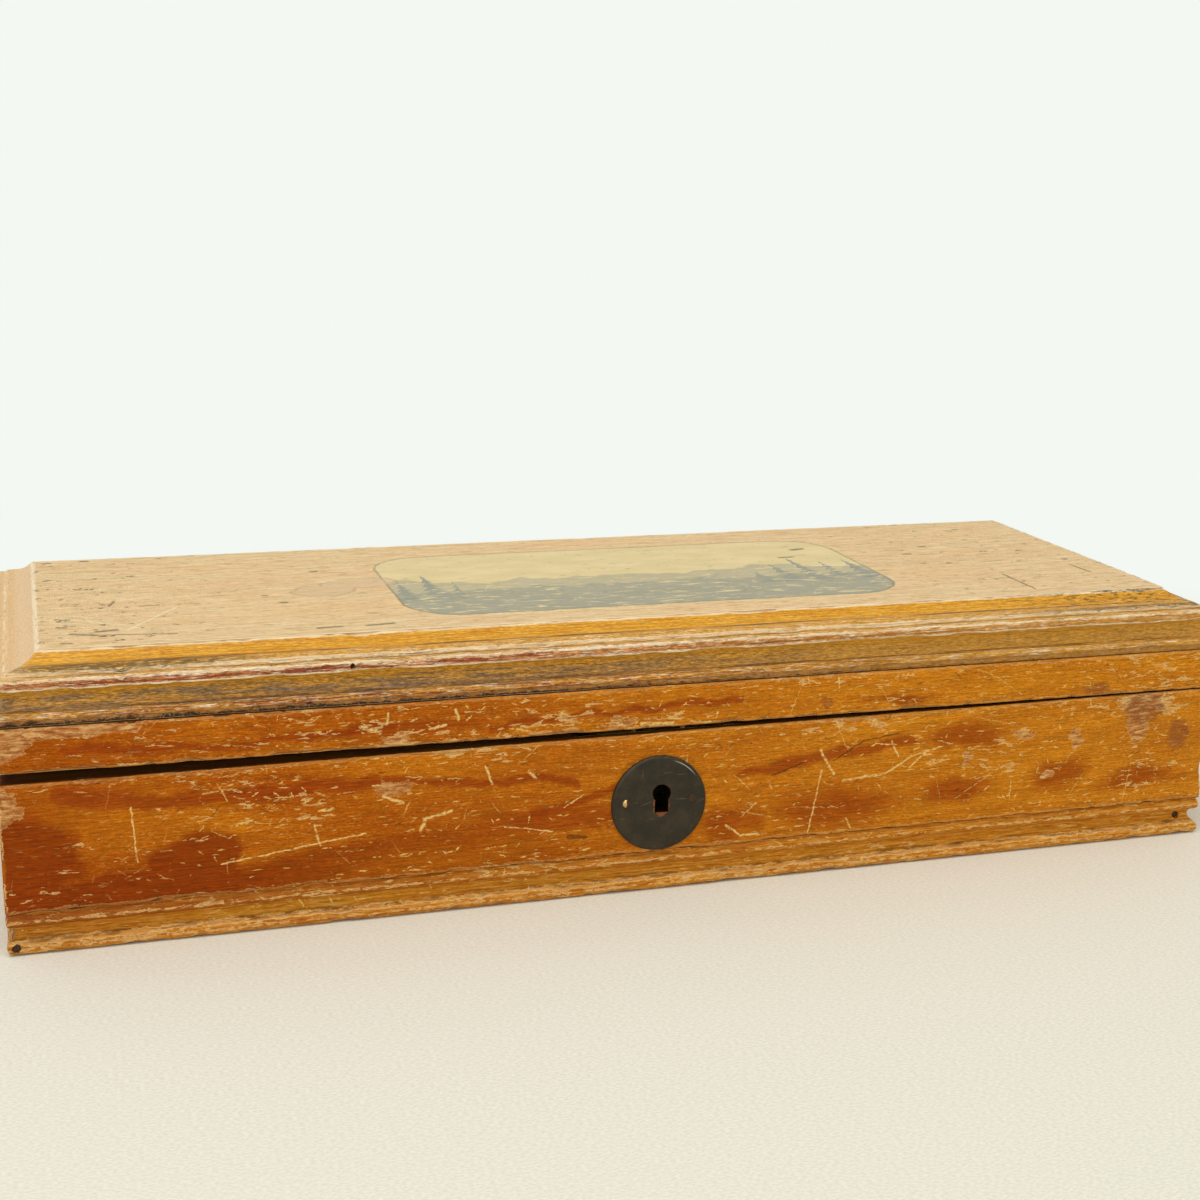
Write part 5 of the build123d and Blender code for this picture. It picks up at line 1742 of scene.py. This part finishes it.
placed_dark = strokes(page, [((102.7, -22.4), (102.8, -38.8), 0.55),
    ((125.9, -15.9), (126.6, -24.8), 0.5), ((-128, -32.4), (-123, -34.6), 1.1),
    ((-123, -34.6), (-106, -37.0), 0.5), ((-122.4, -31.4), (-118.6, -30.6), 1.1),
    ((-130.6, -26.0), (-129.2, -26.4), 1.0), ((-130, -40.2), (-128.6, -40.4), 1.0),
    ((-119, -8), (-117.6, -3), 0.5), ((-112, -9.5), (-108, -9.2), 0.6),
    ((-68.6, 18), (-67.6, 18.2), 1.0), ((-80, -13), (-79.2, -13.2), 1.0),
    ((-83.4, -5), (-82.6, -5.2), 0.8), ((-75.2, -39.0), (-70.2, -38.6), 0.9),
    ((-64.2, -38.9), (-58.4, -38.3), 1.0), ((61, 18), (64, 18.5), 1.2), ((54, 9), (57.4, 9.4), 1.0),
    ((88.4, 6), (90, 6), 1.1), ((97, 14), (98.2, 14), 1.0)])
surface = paint(placed_dark * times_plus(soiled, 0.8, 0.3), surface, tone(88, 82, 56))
placed_pale = strokes(page, [((-116, -31), (-104, -12), 0.5), ((-127.8, -19.1), (-116.2, -26.8), 0.4),
    ((-60, -36), (-20, -35.6), 0.3), ((58, -2), (68, -3), 0.7)])
surface = paint(placed_pale * 0.55, surface, tone(243, 224, 182))
to_right = soft(place_x, 72, 126, 0.05, 1.0)
grime = cloud(spread, (2.6, 0.7, 1.0), 5.0, 0.76)
surface = paint(soft(grime, 0.5, 0.6) * (on_bevel * to_right * 0.85), surface, tone(78, 62, 34))
at_step = level_bands(level, [(top_marks["step"] + 0.7, 1.1)])
surface = paint(soft(grime, 0.4, 0.5) * (at_step * to_right * 0.75), surface, tone(92, 80, 62))
front_ledge = use(patch, Vector=joined(place_x, level),
    Centre=(-118.0, between(top_marks["step"], top_marks["upper_ledge"]), 0.0), Size=(34.0, 2.4, 1.0),
    Core=0.5)["Mask"]
front_ledge = front_ledge * (along < BOARD_SHIFT * 0.5)
surface = paint(front_ledge * soft(grime, 0.4, 0.54, 0.05, 0.85), surface, tone(96, 76, 40))
# A near-black line along the joint: dirt in it, and painted shade of its recess.
joint_noise = cloud(spread, (3.0, 0.8, 0.8), 5.0, 0.72)
joint_dirt_and_shade = soft(times_plus(joint_noise, 2.6,
    level - (top_marks["joint"] - soft(place_x, -90, 110, 0.1, 0.75))), 0.9, 1.2, 1.0, 0.0)
surface = paint(joint_dirt_and_shade * 0.92, surface, tone(42, 28, 14))
grains = cloud(spread, (0.5, 0.4, 0.4), 3.0, 0.7)
surface = paint(joint_dirt_and_shade * soft(grains, 0.54, 0.66, 0.0, 0.7), surface, tone(176, 158, 122))
dust = use(specks, Vector=spread, Cell=12.0, Radius=0.28, Share=0.35)
surface = paint(dust["Mask"] * 0.8, surface, tone(242, 236, 220))
underneath = soft(place_z, RAIL_HEIGHT + 0.02, RAIL_HEIGHT + 0.1, 1.0, 0.0)
surface = paint(underneath, surface, raw["Colour"])

figure = use(pine_figure, Vector=rest, Wander=1.2, Ring_Width=7.0)
relief = times_plus(streak, on_mouldings, figure["Fibre"] * 0.3)
relief = relief - highest(nicked, placed_dark) * on_panel * 0.9
finish(Base_Color=surface, Roughness=soft(on_bevel, 0.0, 1.0, 0.6, 0.35),
    Normal=bump(relief, 0.6, 0.14), Specular_IOR_Level=0.16)

# %% [markdown]
# ## Bare wood and the metals
#
# The bottom board is plain planed pine. Framed pieces have no written measures, so
# their finishes read the place itself, in millimetres.


# %% Bare pine
def bench_place(tree):
    """The place in the piece's own frame, in mm."""
    return node("TexCoord", {}, tree)["Object"] * (1 / MM, 1 / MM, 1 / MM)


bare_pine_finish, tree = material("bare pine")
place = bench_place(tree)
raw = use(raw_pine, Vector=place)
smudge = cloud(place, (30, 14, 14), 4.0, 0.6)
surface = paint(soft(smudge, 0.5, 0.75, 0.0, 0.35), raw["Colour"], tone(168, 128, 84))
ink = use(specks, Vector=place, Cell=16.0, Radius=0.8, Share=0.3)
surface = paint(ink["Mask"] * 0.5, surface, tone(88, 72, 66))
finish(Base_Color=surface, Roughness=0.75, Specular_IOR_Level=0.16,
    Normal=bump(raw["Height"], 0.5, 0.15))

# %% [markdown]
# The keyhole plate is blackened iron with a thin brown bloom, and an orange rim where
# keys have scraped the hole. The walls of the hole are painted near-black as shade, and
# a short arc of its edge carries a painted highlight.

# %% Blackened iron
iron_finish, tree = material("blackened iron")
place = bench_place(tree)
bloom = cloud(place, (5, 5, 5), 4.0, 0.6)
grit = cloud(place, (0.7, 0.7, 0.7), 3.0, 0.6)
surface = paint(soft(bloom, 0.4, 0.7), tone(50, 45, 35), tone(66, 57, 42))
surface = paint(soft(grit, 0.6, 0.75, 0.0, 0.4), surface, tone(92, 72, 46))
facing = place * (1, 0, 1)
near_hole = use(stroke, Vector=facing, From=(key_centre[0], 0.0, key_centre[1]),
    To=(key_centre[0], 0.0, key_centre[1] - KEY_SLOT_DROP + 1.0), Width=KEY_LOBE + 0.9)["Mask"]
rusty = soft(times_plus(grit, 1.0, near_hole), 1.0, 1.2)
surface = paint(rusty * 0.8, surface, tone(138, 78, 38))
place_x, place_y, place_z = parts(place)
# Painted shade: the walls of the keyhole are darkened near-black.
hole_shade = soft(place_y, plate_face + 0.12, plate_face + 0.4) * soft(near_hole, 0.1, 0.3)
surface = paint(hole_shade * 0.9, surface, tone(24, 16, 10))
# Painted highlight: a pale arc on the upper right of the rim.
from_centre = facing - (disc_centre[0], 0.0, disc_centre[1])
ring_gap = abs(length_of(from_centre) - (DISC_RADIUS - RIM_WIDTH))
rim_highlight = (soft(ring_gap, 0.04, 0.17, 0.7, 0.0)
    * use(patch, Vector=from_centre, Centre=(6.0, 0.0, 8.2), Size=(3.8, 1.0, 3.8), Core=0.3)["Mask"])
surface = paint(rim_highlight, surface, tone(196, 192, 178))
hairlines = use(scratches, Vector=joined(place_x, place_z), Cell=3.5, Length=1.8, Width=0.14,
                Share=0.4, Lean=8.0)
surface = paint(hairlines["Mask"] * 0.35, surface, tone(128, 116, 92))
finish(Base_Color=surface, Roughness=soft(bloom, 0.3, 0.7, 0.36, 0.5), Metallic=0.6,
    Specular_IOR_Level=0.4, Normal=bump(times_plus(bloom, 2.0, grit), 0.35, 0.08))

# %% [markdown]
# Lock and hinges are brass that has gone brown and green in its corners, and pins and
# screws are dull steel. Both tarnish alike, so one function makes them from a clean, a
# brown and a deep colour.


# %% Brass, the tacks, and steel
def old_metal(name, clean, brown, deep, spread_of_tarnish, roughness):
    """A metal with two layers of tarnish, and painted shade, near-black, behind the keyhole."""
    made, tree = material(name)
    place = bench_place(tree)
    broad = cloud(place, (6, 6, 6), 4.0, 0.6)
    grit = cloud(place, (0.6, 0.6, 0.6), 3.0, 0.6)
    dull = soft(broad + spread_of_tarnish, 0.42, 0.66)
    surface = paint(dull, clean, brown)
    surface = paint(dull * soft(grit, 0.5, 0.7), surface, deep)
    key_axis = place - (disc_centre[0], 0.0, disc_centre[1])
    from_key = length_of(key_axis * (1.0, 0.0, 1.0))
    # Painted shade: lock parts seen through the keyhole are darkened nearly black.
    surface = paint(soft(from_key, 4.0, 6.0, 0.94, 0.0), surface, tone(20, 14, 9))
    finish(Base_Color=surface, Metallic=soft(dull, 0.0, 1.0, 1.0, 0.55),
        Roughness=soft(dull, 0.0, 1.0, roughness, roughness + 0.25),
        Normal=bump(times_plus(broad, 2.0, grit), 0.3, 0.06))
    return made


brass_finish = old_metal("brass", tone(222, 188, 120), tone(146, 104, 52), tone(84, 74, 50), 0.0, 0.28)
steel_finish = old_metal("steel", tone(150, 146, 138), tone(104, 90, 76), tone(92, 62, 40), 0.06, 0.34)
rusted_finish = old_metal("rusted tack", tone(96, 70, 44), tone(74, 52, 34), tone(50, 38, 30), 0.2, 0.5)

# %% [markdown]
# Each dressed mesh takes its finish here. Framed pieces already carry the name of
# theirs, so one loop serves them all.

# %% Give out the finishes
FINISHES = {"varnished_pine": varnished_pine, "lid_board": lid_board_finish,
            "bare_pine": bare_pine_finish, "blackened_iron": iron_finish,
            "brass": brass_finish, "steel": steel_finish}


def dress(made, *finishes):
    made.data.materials.clear()
    for each in finishes:
        made.data.materials.append(each)


for made in [*case_boards.values(), *lid_rails.values()]:
    dress(made, varnished_pine)
dress(lid_top, lid_board_finish)
dress(escutcheon, iron_finish)
dress(tacks, brass_finish, rusted_finish)
# Painted glint: the left half of the left tack takes bright brass, all other tack faces the rusted
# finish.
glint_edge = disc_centre[0] - TACK_SPACING / 2 - 0.1
for face in tacks.data.polygons:
    face.material_index = int(face.center.x > glint_edge * MM)
for made in (box_corner_pins, lid_corner_pins):
    dress(made, rusted_finish)
for piece in frame["nodes"].values():
    for slot in piece.material_slots:
        slot.material = FINISHES[slot.material.name]
print("dressed:", len(frame["nodes"]), "framed pieces in", len(FINISHES), "finishes")

# %% [markdown]
# ## Stage, light and camera
#
# The box stands on a plain pale table that fades into a pale backdrop. The backdrop is
# a colour that only the camera, mirrors and glass can see, so it adds no light of its
# own. The light is a soft window from above and in front, at a plain level.

# %% Floor
FLOOR_RADIUS, FADE_START, FADE_END = 3.0, 0.25, 0.36
background = tone(243, 248, 242)

floor_corners = np.array([(-1, -1, 0), (1, -1, 0), (1, 1, 0), (-1, 1, 0)]) * FLOOR_RADIUS / MM
floor = new_object("floor", floor_corners, [(0, 1, 2, 3)])
floor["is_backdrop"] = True


def seen_directly(tree):
    """1 for a ray from the camera, a mirror or glass, and 0 for all other light."""
    path = node("LightPath", {}, tree)
    return highest(path["Is Camera Ray"], path["Is Glossy Ray"], path["Is Transmission Ray"])


floor_finish, tree = material("pale table")
place = node("TexCoord", {}, tree)["Object"]
radius = length_of(place)
cloth = cloud(place * (1000.0, 1000.0, 1000.0), (0.9, 0.5, 1), 3.0)
linen = paint(soft(cloth, 0.3, 0.7), tone(224, 221, 204), tone(238, 235, 219))
table_top = node("BsdfPrincipled", {"Base Color": linen, "Roughness": 0.95, "Specular IOR Level": 0.1})
backdrop = node("Emission", {"Color": background, "Strength": 1.0}, tree)
seen = seen_directly(tree)
far = seen * soft(radius, FADE_START, FADE_END)
mixed = node("MixShader", {0: far, 1: table_top[0], 2: backdrop[0]})
node("OutputMaterial", {"Surface": mixed[0]})
floor.data.materials.append(floor_finish)

# %% [markdown]
# The world lights everything evenly, and two soft lamps stand for windows: one above and
# a weaker one in front, so that the mouldings keep a little shade.

# %% World and lamps
WORLD_LIGHT, KEY_POWER, FRONT_POWER = 0.62, 7.0, 3.0
world = bpy.data.worlds.new("studio")
bpy.context.scene.world = world
world.use_nodes = True
tree = world.node_tree
tree.nodes.clear()
seen = seen_directly(tree)
room = node("Background", {"Color": (1.0, 0.99, 0.97, 1.0), "Strength": WORLD_LIGHT}, tree)
shown = node("Background", {"Color": background, "Strength": 1.0}, tree)
both = node("MixShader", {0: seen, 1: room[0], 2: shown[0]})
node("OutputWorld", {"Surface": both[0]})


def window(name, place, size, power):
    """A soft rectangular lamp that looks at the box."""
    lamp = bpy.data.lights.new(name, "AREA")
    lamp.shape, lamp.size, lamp.size_y, lamp.energy = "RECTANGLE", size, size * 0.7, power
    made = bpy.data.objects.new(name, lamp)
    made.location = place
    made.rotation_euler = (-Vector(place)).to_track_quat("-Z", "Y").to_euler()
    bpy.context.scene.collection.objects.link(made)


window("window_above", (-0.25, -0.35, 1.25), 1.0, KEY_POWER)
window("window_front", (-0.5, -1.2, 0.55), 0.9, FRONT_POWER)
print("lamps:", [lamp.name for lamp in bpy.data.lights])

# %% [markdown]
# The camera stands in front and to the left, and looks down on the lid as someone would
# who has just set the box down. It is tipped by a little over half a degree.

# %% Camera
CAMERA_PLACE = (-134.03, -449.06, 169.90)
CAMERA_TURN, CAMERA_DIP, CAMERA_ROLL = radians(16.83), radians(13.54), radians(0.60)
forward = Vector((sin(CAMERA_TURN) * cos(CAMERA_DIP), cos(CAMERA_TURN) * cos(CAMERA_DIP),
                  -sin(CAMERA_DIP)))
right = forward.cross(Vector((0, 0, 1))).normalized()
up = right.cross(forward)
right_rolled = right * cos(CAMERA_ROLL) + up * sin(CAMERA_ROLL)
up_rolled = up * cos(CAMERA_ROLL) - right * sin(CAMERA_ROLL)
lens = bpy.data.cameras.new("camera")
lens.sensor_width, lens.lens, lens.clip_start = 36.0, 57.2, 0.01
camera = bpy.data.objects.new("camera", lens)
axes = Matrix((right_rolled, up_rolled, -forward)).transposed().to_4x4()
camera.matrix_world = Matrix.Translation(Vector(CAMERA_PLACE) * MM) @ axes
bpy.context.scene.collection.objects.link(camera)
bpy.context.scene.camera = camera
bpy.context.scene.view_settings.view_transform = "Standard"
print("camera at", CAMERA_PLACE)

# %% [markdown]
# The dressed box is measured once more. It should be no larger than its frame, because
# wear only ever takes wood away.

# %% Measure the size once more
visual_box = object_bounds()
sizes = {"cad": [list(map(float, corner)) for corner in frame_box],
         "visual": [list(map(float, corner)) for corner in visual_box]}
print("visual", sizes["visual"])
